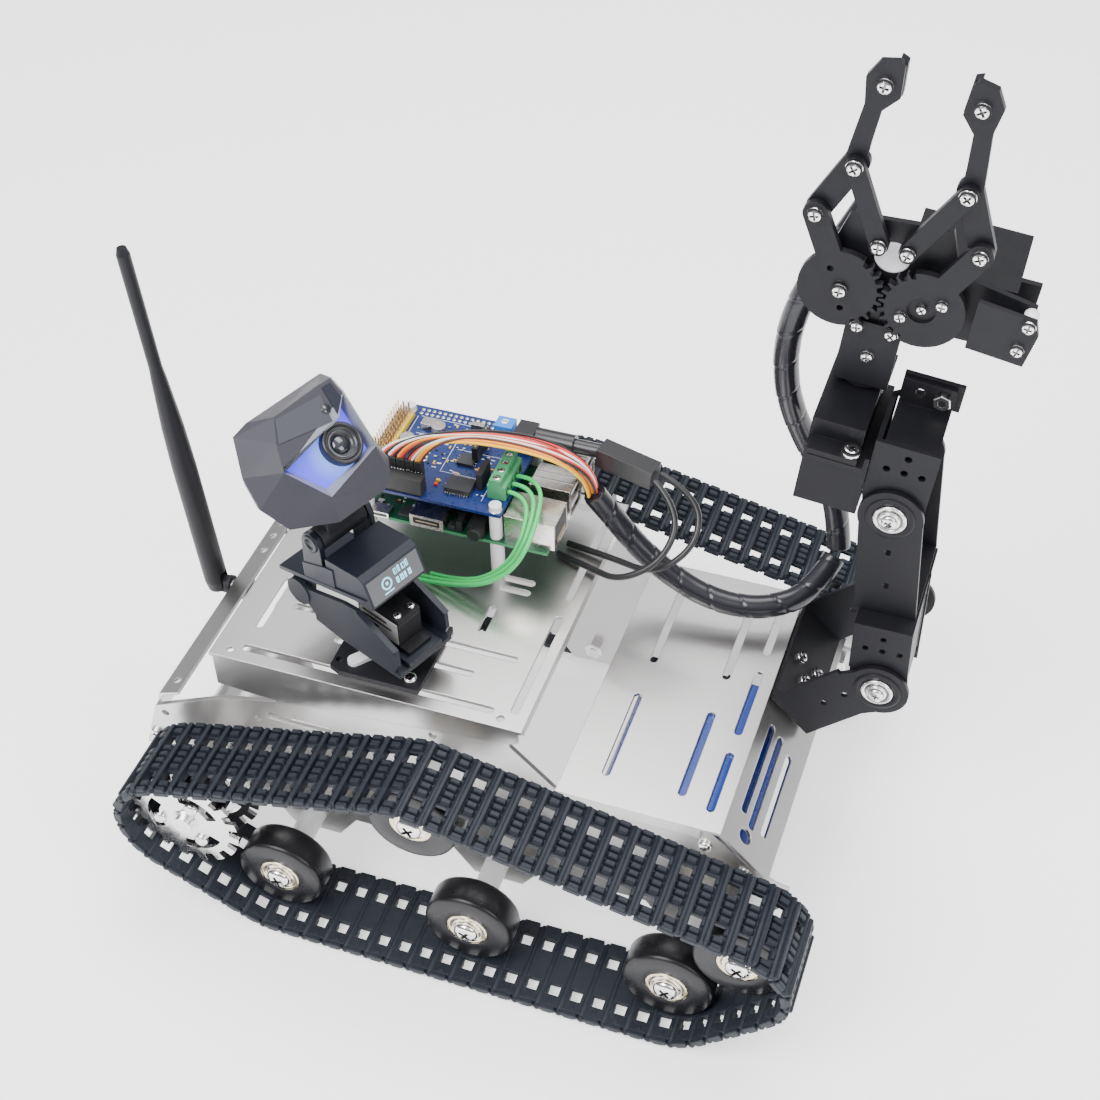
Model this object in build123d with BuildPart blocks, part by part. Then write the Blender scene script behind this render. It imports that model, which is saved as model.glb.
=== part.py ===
from build123d import *
import math
import os

os.makedirs("parts", exist_ok=True)

# ------------------------------------------------------------------ dimensions, mm
# +X forward (towards the nose), +Y left, +Z up; the tracks stand on z = 0.
SHIFT_X, SHIFT_Y = 4.66, 0.0          # moves the build frame so the box's bottom centre is the origin

# tracks and wheels
TRACK_Y = 97.0                       # middle of each track
TRACK_W = 39.0
LINK_T = 2.6                         # link plate thickness
GROUSER = 3.5                        # hinge line to the outside of the crossbars
WINDOW_Y = 9.8                       # windows either side of the middle of the track
WHEEL_R = 19.1
WHEEL_W = 13.4
ROAD_X = (-85.5, 0.0, 86.0)
AXLE_Z = 24.8
ROLLER = (-20.6, 86.0)
IDLER = (114.5, 54.0)
SPROCKET = (-124.0, 51.5)
HINGE_R = 21.3                       # hinge line of the track round a wheel
SPR_HINGE_R = 26.6
SPR_TIP_R = 24.8
SPR_ROOT_R = 20.6
TEETH = 16
BRG_R = 9.0
BRG_BORE_R = 2.6
SCREW_R = 2.5
SPACER_R = 5.2

# chassis plates
SIDE_Y = 67.6                        # outside of the side plates
SIDE_T = 2.0
DECK_Z = 116.85
DECK_X = (-121.8, 14.35)
PLATE_T = 1.6
NOSE_Z = 86.7
NOSE_X = (27.7, 96.15)
SLOT_W = 3.4
NOSE_ANGLE = 47.0                    # nose face below the horizontal
NOSE_LEN = 30.0

# boards
PI_X, PI_Y, PI_Z = -86.6, 7.8, 138.6
PI_L, PI_W = 85.0, 56.0
HAT_Z, HAT_L, HAT_W = 153.9, 65.0, 56.0
PCB_T = 1.5

# pan-tilt head
PAN = (-52.0, -46.0)
TILT = (-66.0, -41.0, 171.0)
HEAD_AZ = -22.3                      # the way the head faces
HEAD_EL = 51.9

# arm
SHOULDER = (140.0, 107.9)            # x, z of the shoulder pivot
ELBOW = (133.9, 191.1)
BASE_Y = (4.0, 62.0)                 # outsides of the base bracket's cheeks
UPPER_Y = (15.0, 59.4)               # outsides of the upper bracket's cheeks
BRK_T = 2.0
LEAN = 6.0                           # the forearm leans forward
WRIST_U = -25.5                      # wrist axis from the elbow, along the leaning frame
WRIST_Y = 50.0
GRIP_W = 81.2                        # jaw gear centres above the elbow
GEAR_HALF = 14.8
ARM_A = (14.3, 27.9)                 # jaw gear to finger knuckle
LINK_B = (5.2, 22.0)                 # inner link's base pivot
GRIP_Y = 35.0                        # front face of the jaw gears
SERVO = (20.0, 40.5, 37.0)           # servo body


# ------------------------------------------------------------------ helpers
def box(cx, cy, cz, lx, ly, lz, mode=Mode.ADD, rot=(0, 0, 0)):
    with Locations(Location((cx, cy, cz), rot)):
        Box(lx, ly, lz, mode=mode)


def span(x0, x1, y0, y1, z0, z1, mode=Mode.ADD):
    box((x0 + x1) / 2, (y0 + y1) / 2, (z0 + z1) / 2, abs(x1 - x0), abs(y1 - y0), abs(z1 - z0), mode)


def cyl(p, d, r, h, mode=Mode.ADD):
    # a cylinder from point p, length h along d
    pl = Plane(origin=p, z_dir=d)
    with Locations(pl.location):
        Cylinder(r, h, align=(Align.CENTER, Align.CENTER, Align.MIN), mode=mode)


def xz_prism(pts, y0, y1, mode=Mode.ADD):
    # a prism of a profile in x and z, from y0 to y1
    with BuildSketch(Plane(origin=(0, y0, 0), x_dir=(1, 0, 0), z_dir=(0, -1, 0))) as sk:
        with BuildLine():
            Polyline(*pts, close=True)
        make_face()
    extrude(sk.sketch, amount=y1 - y0, dir=(0, 1, 0), mode=mode)


def xy_prism(pts, z0, z1, mode=Mode.ADD):
    with BuildSketch(Plane(origin=(0, 0, z0))) as sk:
        with BuildLine():
            Polyline(*pts, close=True)
        make_face()
    extrude(sk.sketch, amount=z1 - z0, dir=(0, 0, 1), mode=mode)


def capsule(p, q, r, y0, y1, mode=Mode.ADD):
    # a flat bar with round ends between two x,z points
    n = 14
    a = math.atan2(q[1] - p[1], q[0] - p[0])
    pts = []
    for i in range(n + 1):
        t = a - math.pi / 2 + math.pi * i / n
        pts.append((q[0] + r * math.cos(t), q[1] + r * math.sin(t)))
    for i in range(n + 1):
        t = a + math.pi / 2 + math.pi * i / n
        pts.append((p[0] + r * math.cos(t), p[1] + r * math.sin(t)))
    xz_prism(pts, y0, y1, mode)


def slot_y(x, y0, y1, z, w=SLOT_W, depth=8):
    # a slot along y cut through a level plate
    with BuildSketch(Plane(origin=(x, (y0 + y1) / 2, z - depth / 2))) as sk:
        SlotOverall(abs(y1 - y0), w, rotation=90)
    extrude(sk.sketch, amount=depth, dir=(0, 0, 1), mode=Mode.SUBTRACT)


def slot_x(y, x0, x1, z, w=SLOT_W, depth=8):
    with BuildSketch(Plane(origin=((x0 + x1) / 2, y, z - depth / 2))) as sk:
        SlotOverall(abs(x1 - x0), w)
    extrude(sk.sketch, amount=depth, dir=(0, 0, 1), mode=Mode.SUBTRACT)


def save(b, name, loc=None):
    s = b.part
    if loc is not None:
        s = s.moved(loc)
    s = s.moved(Location((SHIFT_X, SHIFT_Y, 0)))
    s.label = name
    export_step(s, "parts/" + name + ".step")


def cord_path(pts):
    # straight runs joined by tangent arcs; prints the radii
    edges, radii = [], []
    cur = Vector(*pts[0])
    for i in range(1, len(pts) - 1):
        p, a, b = Vector(*pts[i]), Vector(*pts[i - 1]), Vector(*pts[i + 1])
        u, v = (p - a), (b - p)
        lu, lv = u.length, v.length
        u, v = u.normalized(), v.normalized()
        turn = math.acos(max(-1, min(1, u.dot(v))))
        if turn < 0.02:
            continue
        cut = 0.45 * min(lu, lv)
        r = cut / math.tan(turn / 2)
        s, e = p - u * cut, p + v * cut
        if (s - cur).length > 0.01:
            edges.append(Edge.make_line(cur, s))
        bis = (v - u).normalized()
        c = p + bis * math.sqrt(r * r + cut * cut)
        m = c - bis * r
        edges.append(Edge.make_three_point_arc(s, m, e))
        radii.append(round(r, 1))
        cur = e
    edges.append(Edge.make_line(cur, Vector(*pts[-1])))
    return edges, radii


def cord(pts, r, name=""):
    edges, radii = cord_path(pts)
    w = Wire(edges)
    L = w.length
    with BuildSketch(Plane(origin=w @ 0, z_dir=w % 0)) as sec:
        Circle(r)
    sweep(sections=sec.sketch, path=w)
    print("cord", name, "length", round(L, 1), "volume expected", round(math.pi * r * r * L), "radii", radii)


# ------------------------------------------------------------------ track path
def tangent_path():
    # circles round which the hinge line runs, in order along the top from the rear
    cs = [(SPROCKET[0], SPROCKET[1], SPR_HINGE_R), (ROLLER[0], ROLLER[1], HINGE_R),
          (IDLER[0], IDLER[1], HINGE_R), (ROAD_X[2], AXLE_Z, HINGE_R), (ROAD_X[0], AXLE_Z, HINGE_R)]
    n = len(cs)
    tang = []
    for i in range(n):
        (x1, y1, r1), (x2, y2, r2) = cs[i], cs[(i + 1) % n]
        dx, dy = x2 - x1, y2 - y1
        d = math.hypot(dx, dy)
        base = math.atan2(dy, dx)
        # outer tangent with the circles on the right-hand side
        off = math.asin((r1 - r2) / d)
        a = base + math.pi / 2 - off
        tang.append(((x1 + r1 * math.cos(a), y1 + r1 * math.sin(a)),
                     (x2 + r2 * math.cos(a), y2 + r2 * math.sin(a)), a))
    pts = []
    for i in range(n):
        p, q, a = tang[i]
        m = max(2, int(math.hypot(q[0] - p[0], q[1] - p[1]) / 0.5))
        for k in range(m):
            t = k / m
            pts.append((p[0] + (q[0] - p[0]) * t, p[1] + (q[1] - p[1]) * t))
        x, y, r = cs[(i + 1) % n]
        a2 = tang[(i + 1) % n][2]
        da = a - a2
        while da < 0:
            da += 2 * math.pi
        while da > 2 * math.pi:
            da -= 2 * math.pi
        m = max(2, int(da * r / 0.25))
        for k in range(m):
            t = a - da * k / m
            pts.append((x + r * math.cos(t), y + r * math.sin(t)))
    return pts


def hinges(count=None):
    pts = tangent_path()
    pts.append(pts[0])
    cum = [0]
    for a, b in zip(pts, pts[1:]):
        cum.append(cum[-1] + math.hypot(b[0] - a[0], b[1] - a[1]))
    L = cum[-1]
    n = count or round(L / 9.62)
    out, j = [], 0
    for i in range(n):
        s = L * i / n
        while cum[j + 1] < s:
            j += 1
        t = (s - cum[j]) / (cum[j + 1] - cum[j])
        out.append((pts[j][0] + (pts[j + 1][0] - pts[j][0]) * t, pts[j][1] + (pts[j + 1][1] - pts[j][1]) * t))
    return out, L, n


HINGES, TRACK_L, LINKS = hinges()
print("track", round(TRACK_L, 1), "links", LINKS, "pitch", round(TRACK_L / LINKS, 3))


def one_link(length):
    # x along the track, z outward, hinge line at z = 0
    with BuildPart() as b:
        span(-length / 2, length / 2, -TRACK_W / 2, TRACK_W / 2, -LINK_T / 2, LINK_T / 2)
        for s in (-1, 1):
            box(0, s * WINDOW_Y, 0, length - 4.6, 5.2, 10, Mode.SUBTRACT)
        span(-length / 2 + 0.6, -length / 2 + 2.6, -TRACK_W / 2, TRACK_W / 2, 0, GROUSER)
        for s in (-1, 1):
            box(length / 2 - 1.1, s * (TRACK_W / 2 - 1.5), 0, 2.2, 3.0, 10, Mode.SUBTRACT)
    return b.part


link = one_link(8.9)


def track(side, name):
    places = []
    for i in range(LINKS):
        a, b = HINGES[i], HINGES[(i + 1) % LINKS]
        mx, mz = (a[0] + b[0]) / 2, (a[1] + b[1]) / 2
        ux, uz = b[0] - a[0], b[1] - a[1]
        d = math.hypot(ux, uz)
        ux, uz = ux / d, uz / d
        # the path runs clockwise seen from -Y, so outward is 90 degrees left of travel
        pl = Plane(origin=(mx, side * TRACK_Y, mz), x_dir=(ux, 0, uz), z_dir=(-uz, 0, ux))
        places.append(pl.location)
    with BuildPart() as t:
        with Locations(*places):
            add(link, clean=False)
    save(t, name)


for side, word in ((1, "left"), (-1, "right")):
    track(side, "track_" + word)

# ------------------------------------------------------------------ wheels
for side, word in ((1, "left"), (-1, "right")):
    for (x, z), nm in [((ROAD_X[0], AXLE_Z), "road_wheel_rear_"), ((ROAD_X[1], AXLE_Z), "road_wheel_mid_"),
                       ((ROAD_X[2], AXLE_Z), "road_wheel_front_"), (IDLER, "idler_wheel_"), (ROLLER, "return_roller_")]:
        y0 = side * (TRACK_Y - WHEEL_W / 2)
        with BuildPart() as w:
            cyl((x, y0, z), (0, side, 0), WHEEL_R, WHEEL_W)
            # shallow dish on both faces leaves a rim and a hub
            chamfer(w.edges().filter_by(GeomType.CIRCLE), 0.8)
            cyl((x, y0 - side, z), (0, side, 0), 8.05, WHEEL_W + 2, Mode.SUBTRACT)
            cyl((x, y0 - side * 0.5, z), (0, side, 0), BRG_R + 0.06, 1.3, Mode.SUBTRACT)
            cyl((x, y0 + side * (WHEEL_W + 0.5), z), (0, -side, 0), BRG_R + 0.06, 1.3, Mode.SUBTRACT)
        save(w, nm + word)

with BuildPart() as wheel_bearings:
    for side in (1, -1):
        for x, z in [(ROAD_X[0], AXLE_Z), (ROAD_X[1], AXLE_Z), (ROAD_X[2], AXLE_Z), IDLER, ROLLER]:
            for s2 in (1, -1):
                # s2 = 1 is the outer bearing, its flange on the wheel's outside
                yf = side * (TRACK_Y + s2 * (WHEEL_W / 2 + 0.15))
                d = (0, -side * s2, 0)
                cyl((x, yf, z), d, BRG_R, 0.9)
                cyl((x, yf, z), d, 8.0, 5.0)
                cyl((x, yf + side * s2, z), d, BRG_BORE_R, 8, Mode.SUBTRACT)
                if s2 == 1:
                    cyl((x, yf + side * s2 * 0.1, z), d, 6.6, 0.5, Mode.SUBTRACT)
save(wheel_bearings, "wheel_bearings")

with BuildPart() as spacers:
    for side in (1, -1):
        for x, z in [(ROAD_X[0], AXLE_Z), (ROAD_X[1], AXLE_Z), (ROAD_X[2], AXLE_Z), IDLER, ROLLER]:
            y0, y1 = SIDE_Y, TRACK_Y - WHEEL_W / 2 - 0.15
            cyl((x, side * y0, z), (0, side, 0), SPACER_R, y1 - y0)
            cyl((x, side * (y0 - 1), z), (0, side, 0), SCREW_R + 0.1, 40, Mode.SUBTRACT)
    for x, y in [(PI_X + 3.5, PI_Y + 3.5), (PI_X + 61.5, PI_Y + 3.5), (PI_X + 3.5, PI_Y + 52.5), (PI_X + 61.5, PI_Y + 52.5)]:
        cyl((x, y, DECK_Z), (0, 0, 1), 3.0, PI_Z - PCB_T - DECK_Z)
        cyl((x, y, PI_Z), (0, 0, 1), 2.8, HAT_Z - PCB_T - PI_Z)
        cyl((x, y, HAT_Z), (0, 0, 1), 2.6, 2.4)
save(spacers, "nylon_spacers")

# ------------------------------------------------------------------ sprockets
def gear_points(n, root, tip, phase=0.0, frac=0.42, tipfrac=0.22, cx=0.0, cz=0.0):
    pts = []
    for i in range(n):
        a = 2 * math.pi * i / n + phase
        w, t = math.pi / n * frac * 2, math.pi / n * tipfrac * 2
        for da, r in ((-w * 0.9, root), (-w * 0.62, root), (-t, tip), (t, tip), (w * 0.62, root), (w * 0.9, root)):
            pts.append((cx + r * math.cos(a + da), cz + r * math.sin(a + da)))
    return pts


def kidney(cx, cz, r0, r1, a0, a1, n=10):
    out = [(cx + r1 * math.cos(a0 + (a1 - a0) * i / n), cz + r1 * math.sin(a0 + (a1 - a0) * i / n)) for i in range(n + 1)]
    out += [(cx + r0 * math.cos(a1 - (a1 - a0) * i / n), cz + r0 * math.sin(a1 - (a1 - a0) * i / n)) for i in range(n + 1)]
    return out


SPR_PHASE = math.pi / TEETH
for side, word in ((1, "left"), (-1, "right")):
    cx, cz = SPROCKET
    yo, yi = TRACK_Y + WINDOW_Y, TRACK_Y - WINDOW_Y
    with BuildPart() as sp:
        for yc in (yo, yi):
            lo, hi = sorted((side * (yc - 0.9), side * (yc + 0.9)))
            xz_prism(gear_points(TEETH, SPR_ROOT_R, SPR_TIP_R, SPR_PHASE, cx=cx, cz=cz), lo, hi)
            for k in range(3):
                a = math.radians(120 * k - 62)
                xz_prism(kidney(cx, cz, 12.0, 17.2, a - 0.62, a + 0.62), lo - 1, hi + 1, Mode.SUBTRACT)
        # hub, flange and shaft
        cyl((cx, side * (yi - 6.5), cz), (0, side, 0), 6.0, yo - yi + 8.0)
        cyl((cx, side * (yo + 0.9), cz), (0, side, 0), 5.2, 1.0)
        cyl((cx, side * (yo + 1.9), cz), (0, side, 0), 4.4, 1.8)
        cyl((cx, side * (SIDE_Y - 6), cz), (0, side, 0), 3.0, yi - SIDE_Y + 6)
        for k in range(3):
            a = math.radians(120 * k + 185)
            px, pz = cx + 11.5 * math.cos(a), cz + 11.5 * math.sin(a)
            cyl((px, side * (yi - 1.9), pz), (0, side, 0), 2.2, yo - yi + 4.6)
    save(sp, "sprocket_" + word)

# ------------------------------------------------------------------ side plates
lobes = []
for x in (ROAD_X[0], ROAD_X[1], ROAD_X[2]):
    lobes += [(x - 20, 27.0), (x - 11, 14.0), (x + 11, 14.0), (x + 20, 27.0)]
side_profile = [(-164.4, 43.6), (-155.8, 70.2), (-121.9, 86.9), (-95.4, 94.0), (-84.0, DECK_Z - PLATE_T),
                (6.0, DECK_Z - PLATE_T), (8.5, 104.0), (27.2, NOSE_Z - PLATE_T), (90.0, NOSE_Z - PLATE_T),
                (94.0, 81.6), (114.6, 62.4), (125.0, 60.0), (126.5, 52.0), (118.0, 42.0), (112.0, 30.0)]
side_profile += list(reversed(lobes))
side_profile += [(-112.0, 27.0), (-138.0, 34.0)]
for side, word in ((1, "left"), (-1, "right")):
    lo, hi = sorted((side * (SIDE_Y - SIDE_T), side * SIDE_Y))
    with BuildPart() as pl:
        xz_prism(side_profile, lo, hi)
        for x, z in [(ROAD_X[0], AXLE_Z), (ROAD_X[1], AXLE_Z), (ROAD_X[2], AXLE_Z), IDLER, ROLLER]:
            cyl((x, side * (SIDE_Y - 4), z), (0, side, 0), SCREW_R + 0.1, 6, Mode.SUBTRACT)
        cyl((SPROCKET[0], side * (SIDE_Y - 4), SPROCKET[1]), (0, side, 0), 6.5, 6, Mode.SUBTRACT)
        for x, z, r in [(-151.4, 67.0, 1.7), (-105.1, 80.0, 1.7), (-24.8, 99.0, 1.8), (-158.3, 52.0, 1.6), (90.0, 75.0, 1.6), (106.5, 63.0, 1.6)]:
            cyl((x, side * (SIDE_Y - 4), z), (0, side, 0), r, 6, Mode.SUBTRACT)
        capsule((-99.5, 84.0), (-73.0, 84.4), 1.7, lo - 1, hi + 1, Mode.SUBTRACT)
    save(pl, "side_plate_" + word)

# ------------------------------------------------------------------ rear deck
with BuildPart() as rear_deck:
    y = SIDE_Y + PLATE_T
    span(DECK_X[0], DECK_X[1], -y, y, DECK_Z - PLATE_T, DECK_Z)
    for s in (-1, 1):
        lo, hi = sorted((s * (y - PLATE_T), s * y))
        xz_prism([(DECK_X[0] + 1.5, DECK_Z - PLATE_T), (DECK_X[0] + 1.5, 99.0), (-95.0, 97.0), (DECK_X[1] - 6, 107.5),
                  (DECK_X[1] - 1.5, 110.0), (DECK_X[1] - 1.5, DECK_Z - PLATE_T)], lo, hi)
    # front lip bent down
    span(DECK_X[1] - PLATE_T, DECK_X[1], -y + 3, y - 3, DECK_Z - 5.0, DECK_Z - PLATE_T)
    slot_y(10.1 - 2.0, -60.9, -4.9, DECK_Z)
    slot_y(10.1 - 2.0, 4.9, 29.0, DECK_Z)
    slot_y(10.1 - 2.0, 35.0, 60.9, DECK_Z)
    slot_y(-108.6, -49.8, -19.3, DECK_Z)
    slot_y(-108.6, 19.3, 49.8, DECK_Z)
    slot_x(-61.7, -110.0, 0.2, DECK_Z)
    slot_x(61.7, -110.0, 0.2, DECK_Z)
    slot_x(-33.4, -100.0, -0.1, DECK_Z)
    slot_x(-46.0, -76.0, -14.3, DECK_Z)
    slot_x(46.0, -76.0, -14.3, DECK_Z)
    slot_y(-20.0, -24.0, -8.0, DECK_Z)
    slot_x(9.5, -22.0, -8.0, DECK_Z)
    slot_x(3.5, -22.0, -8.0, DECK_Z)
    for x in (-114.0, 4.0):
        for yy in (-64.5, 64.5):
            with Locations((x, yy, DECK_Z - 1)):
                Cylinder(1.6, 6, mode=Mode.SUBTRACT)
save(rear_deck, "rear_deck")

# ------------------------------------------------------------------ front deck and nose
na = math.radians(NOSE_ANGLE)
nd = (math.cos(na), 0, -math.sin(na))            # down the nose
nn = (math.sin(na), 0, math.cos(na))             # out of the nose
bend = (NOSE_X[1], NOSE_Z)
tip = (bend[0] + NOSE_LEN * nd[0], bend[1] + NOSE_LEN * nd[2])
with BuildPart() as front_deck:
    y = SIDE_Y + PLATE_T
    t = PLATE_T
    prof = [(NOSE_X[0], NOSE_Z), bend, tip, (tip[0] - t * nn[0], tip[1] - t * nn[2]),
            (bend[0] - t * math.tan(na / 2), NOSE_Z - t), (NOSE_X[0], NOSE_Z - t)]
    xz_prism(prof, -y, y)
    for s in (-1, 1):
        lo, hi = sorted((s * (y - t), s * y))
        span(NOSE_X[0] + 3, NOSE_X[1] - 8, lo, hi, NOSE_Z - 6.5, NOSE_Z - t)
    slot_y(44.3, 9.3, 55.6, NOSE_Z)
    slot_y(44.3, -55.6, -9.3, NOSE_Z)
    slot_y(76.2, 9.7, 55.8, NOSE_Z)
    slot_y(76.2, -55.8, -9.7, NOSE_Z)
    slot_y(89.1, 28.2, 60.0, NOSE_Z, depth=5)
    slot_y(89.1, -60.0, -28.2, NOSE_Z, depth=5)
    slot_y(89.1, -18.3, 18.3, NOSE_Z, depth=5)
    for dd, y0, y1 in [(7.2, -52.0, -4.5), (13.2, -56.0, -6.0), (20.5, -54.0, -10.0), (7.2, 8.0, 52.0), (13.2, 8.0, 56.0), (20.5, 10.0, 54.0)]:
        c = (bend[0] + dd * nd[0], (y0 + y1) / 2, bend[1] + dd * nd[2])
        with BuildSketch(Plane(origin=c, x_dir=(0, 1, 0), z_dir=nn)):
            SlotOverall(abs(y1 - y0), SLOT_W)
        extrude(amount=5, both=True, mode=Mode.SUBTRACT)
    for yy in (-60.5, 60.5):
        c = (bend[0] + 12 * nd[0], yy, bend[1] + 12 * nd[2])
        with BuildSketch(Plane(origin=c, x_dir=(0, 1, 0), z_dir=nn)):
            Circle(3.4)
        extrude(amount=5, both=True, mode=Mode.SUBTRACT)
save(front_deck, "front_deck")

# ------------------------------------------------------------------ rear panel
with BuildPart() as rear_panel:
    yy = SIDE_Y - SIDE_T
    xz_prism([(-160.0, 57.0), (-153.6, 77.0), (-144.0, 80.5), (-144.0, 79.0), (-152.4, 75.8), (-158.5, 56.5)], -yy, yy)
    for y in (-58.0, 27.0, 37.0, 46.0):
        cyl((-148.5, y, 70), (0, 0, 1), 1.7, 14, Mode.SUBTRACT)
    cyl((-165, 12.0, 67.0), (1, 0, 0), 3.3, 16, Mode.SUBTRACT)
save(rear_panel, "rear_panel")

# ------------------------------------------------------------------ motors and battery
with BuildPart() as drive_motors:
    for s in (1, -1):
        x, z = SPROCKET
        y0 = s * (SIDE_Y - SIDE_T)
        cyl((x, y0, z), (0, -s, 0), 18.3, 24)
        cyl((x, y0 - s * 24, z), (0, -s, 0), 16.8, 28)
        cyl((x, y0 - s * 52, z), (0, -s, 0), 8, 3)
        cyl((x, y0 + s * 1.9, z), (0, -s, 0), 6.0, 3)
        cyl((x, y0 + s * 3, z), (0, -s, 0), 3.05, 14, Mode.SUBTRACT)
save(drive_motors, "drive_motors")

with BuildPart() as battery_pack:
    for i in range(3):
        cyl((51.0 + i * 18.5, -58.0, NOSE_Z - PLATE_T - 9.2), (0, 1, 0), 9.2, 70)
    span(51.0, 88.0, -57.5, 11.5, NOSE_Z - PLATE_T - 18.2, NOSE_Z - PLATE_T - 0.2)
    for i in range(3):
        cyl((60.0 + i * 18.5, -58.0, NOSE_Z - PLATE_T - 27.4), (0, 1, 0), 9.2, 70)
    span(60.0, 97.0, -57.5, 11.5, NOSE_Z - PLATE_T - 36.4, NOSE_Z - PLATE_T - 18.0)
save(battery_pack, "battery_pack")


# ------------------------------------------------------------------ screws
def pan_head(p, d, r, h=None, shank=0.0, shank_r=None):
    # a pan head standing on point p, its top towards d, its shank the other way
    h = h or 0.65 * r
    cyl(p, d, r, h)
    if shank:
        cyl(p, (-d[0], -d[1], -d[2]), shank_r or 0.5 * r, shank)
    # cross recess
    top = tuple(p[i] + d[i] * h for i in range(3))
    pl = Plane(origin=top, z_dir=d)
    with BuildSketch(pl) as sk:
        Rectangle(r * 1.1, r * 0.28)
        Rectangle(r * 0.28, r * 1.1)
    extrude(sk.sketch, amount=h * 0.5, dir=(-d[0], -d[1], -d[2]), mode=Mode.SUBTRACT)


with BuildPart() as steel_screws:
    for s in (1, -1):
        for x, z in [(ROAD_X[0], AXLE_Z), (ROAD_X[1], AXLE_Z), (ROAD_X[2], AXLE_Z), IDLER, ROLLER]:
            yo = s * (TRACK_Y + WHEEL_W / 2 + 0.15)
            pan_head((x, yo, z), (0, s, 0), 5.4, 3.2, TRACK_Y + WHEEL_W / 2 + 0.15 - SIDE_Y + SIDE_T + 6, SCREW_R)
            # nut inside the side plate
            with BuildSketch(Plane(origin=(x, s * (SIDE_Y - SIDE_T), z), x_dir=(1, 0, 0), z_dir=(0, -s, 0))):
                RegularPolygon(4.6, 6)
            extrude(amount=4.2)
    for s in (1, -1):
        for x, z in [(-158.3, 52.0), (90.0, 75.0), (106.5, 63.0)]:
            pan_head((x, s * SIDE_Y, z), (0, s, 0), 2.9, 2.0, SIDE_T + 2, 1.4)
    # board standoff screw heads below the deck are hidden; pan base and board top nuts are seen
    pan_head((-36.5, -58.6, DECK_Z + 2.5), (0, 0, 1), 2.8, 1.9, 2.4, 1.4)
    pan_head((-36.3, -28.9, DECK_Z + 2.5), (0, 0, 1), 2.8, 1.9, 2.4, 1.4)
save(steel_screws, "steel_screws")

# ------------------------------------------------------------------ boards
def pi(x, y):
    return (PI_X + x, PI_Y + y)


with BuildPart() as computer_board:
    span(PI_X, PI_X + PI_L, PI_Y, PI_Y + PI_W, PI_Z - PCB_T, PI_Z)
    for x in (3.5, 61.5):
        for y in (3.5, 52.5):
            with Locations((*pi(x, y), PI_Z)):
                Cylinder(1.35, 8, mode=Mode.SUBTRACT)
save(computer_board, "computer_board")

with BuildPart() as board_connectors:
    z = PI_Z
    span(PI_X + 65.5, PI_X + 87.5, PI_Y + 2.3, PI_Y + 18.3, z, z + 13.5)        # Ethernet
    for y0 in (22.0, 40.0):
        span(PI_X + 69.5, PI_X + 87.5, PI_Y + y0, PI_Y + y0 + 14.5, z, z + 15.6)  # USB
        span(PI_X + 78.0, PI_X + 90.0, PI_Y + y0 + 1.2, PI_Y + y0 + 13.3, z + 1.4, z + 7.0, Mode.SUBTRACT)
        span(PI_X + 78.0, PI_X + 90.0, PI_Y + y0 + 1.2, PI_Y + y0 + 13.3, z + 8.6, z + 14.2, Mode.SUBTRACT)
    span(PI_X + 24.5, PI_X + 39.5, PI_Y - 1.5, PI_Y + 9.5, z, z + 6.2)           # HDMI
    span(PI_X + 50.2, PI_X + 56.8, PI_Y - 0.5, PI_Y + 11.5, z, z + 6.0)          # audio
    cyl((PI_X + 53.5, PI_Y - 2.5, z + 3.0), (0, 1, 0), 3.0, 2.2)
    span(PI_X + 7.0, PI_X + 14.6, PI_Y - 1.2, PI_Y + 4.5, z, z + 2.9)            # micro USB
    span(PI_X + 44.5, PI_X + 47.0, PI_Y + 0.8, PI_Y + 20.5, z, z + 5.5)          # camera socket
save(board_connectors, "board_connectors")

with BuildPart() as driver_board:
    span(PI_X, PI_X + HAT_L, PI_Y, PI_Y + HAT_W, HAT_Z - PCB_T, HAT_Z)
    for x in (3.5, 61.5):
        for y in (3.5, 52.5):
            with Locations((*pi(x, y), HAT_Z)):
                Cylinder(1.35, 8, mode=Mode.SUBTRACT)
    span(PI_X + 37.5, PI_X + 48.8, PI_Y + 6.9, PI_Y + 15.2, HAT_Z, HAT_Z + 2.4)   # motor driver chip
    span(PI_X + 36.5, PI_X + 43.5, PI_Y + 24.0, PI_Y + 30.5, HAT_Z, HAT_Z + 1.6)
    span(PI_X + 13.0, PI_X + 20.0, PI_Y + 41.0, PI_Y + 46.0, HAT_Z, HAT_Z + 3.4)   # crystals
    span(PI_X + 34.0, PI_X + 40.0, PI_Y + 47.0, PI_Y + 49.4, HAT_Z, HAT_Z + 3.4)
    span(PI_X + 45.0, PI_X + 53.0, PI_Y + 46.0, PI_Y + 53.0, HAT_Z, HAT_Z + 6.5)   # trimmer
    cyl((PI_X + 12.0, PI_Y + 29.0, HAT_Z), (0, 0, 1), 3.1, 5.4)                    # capacitor
    cyl((PI_X + 22.0, PI_Y + 40.0, HAT_Z), (0, 0, 1), 3.1, 5.4)
save(driver_board, "driver_board")

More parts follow.
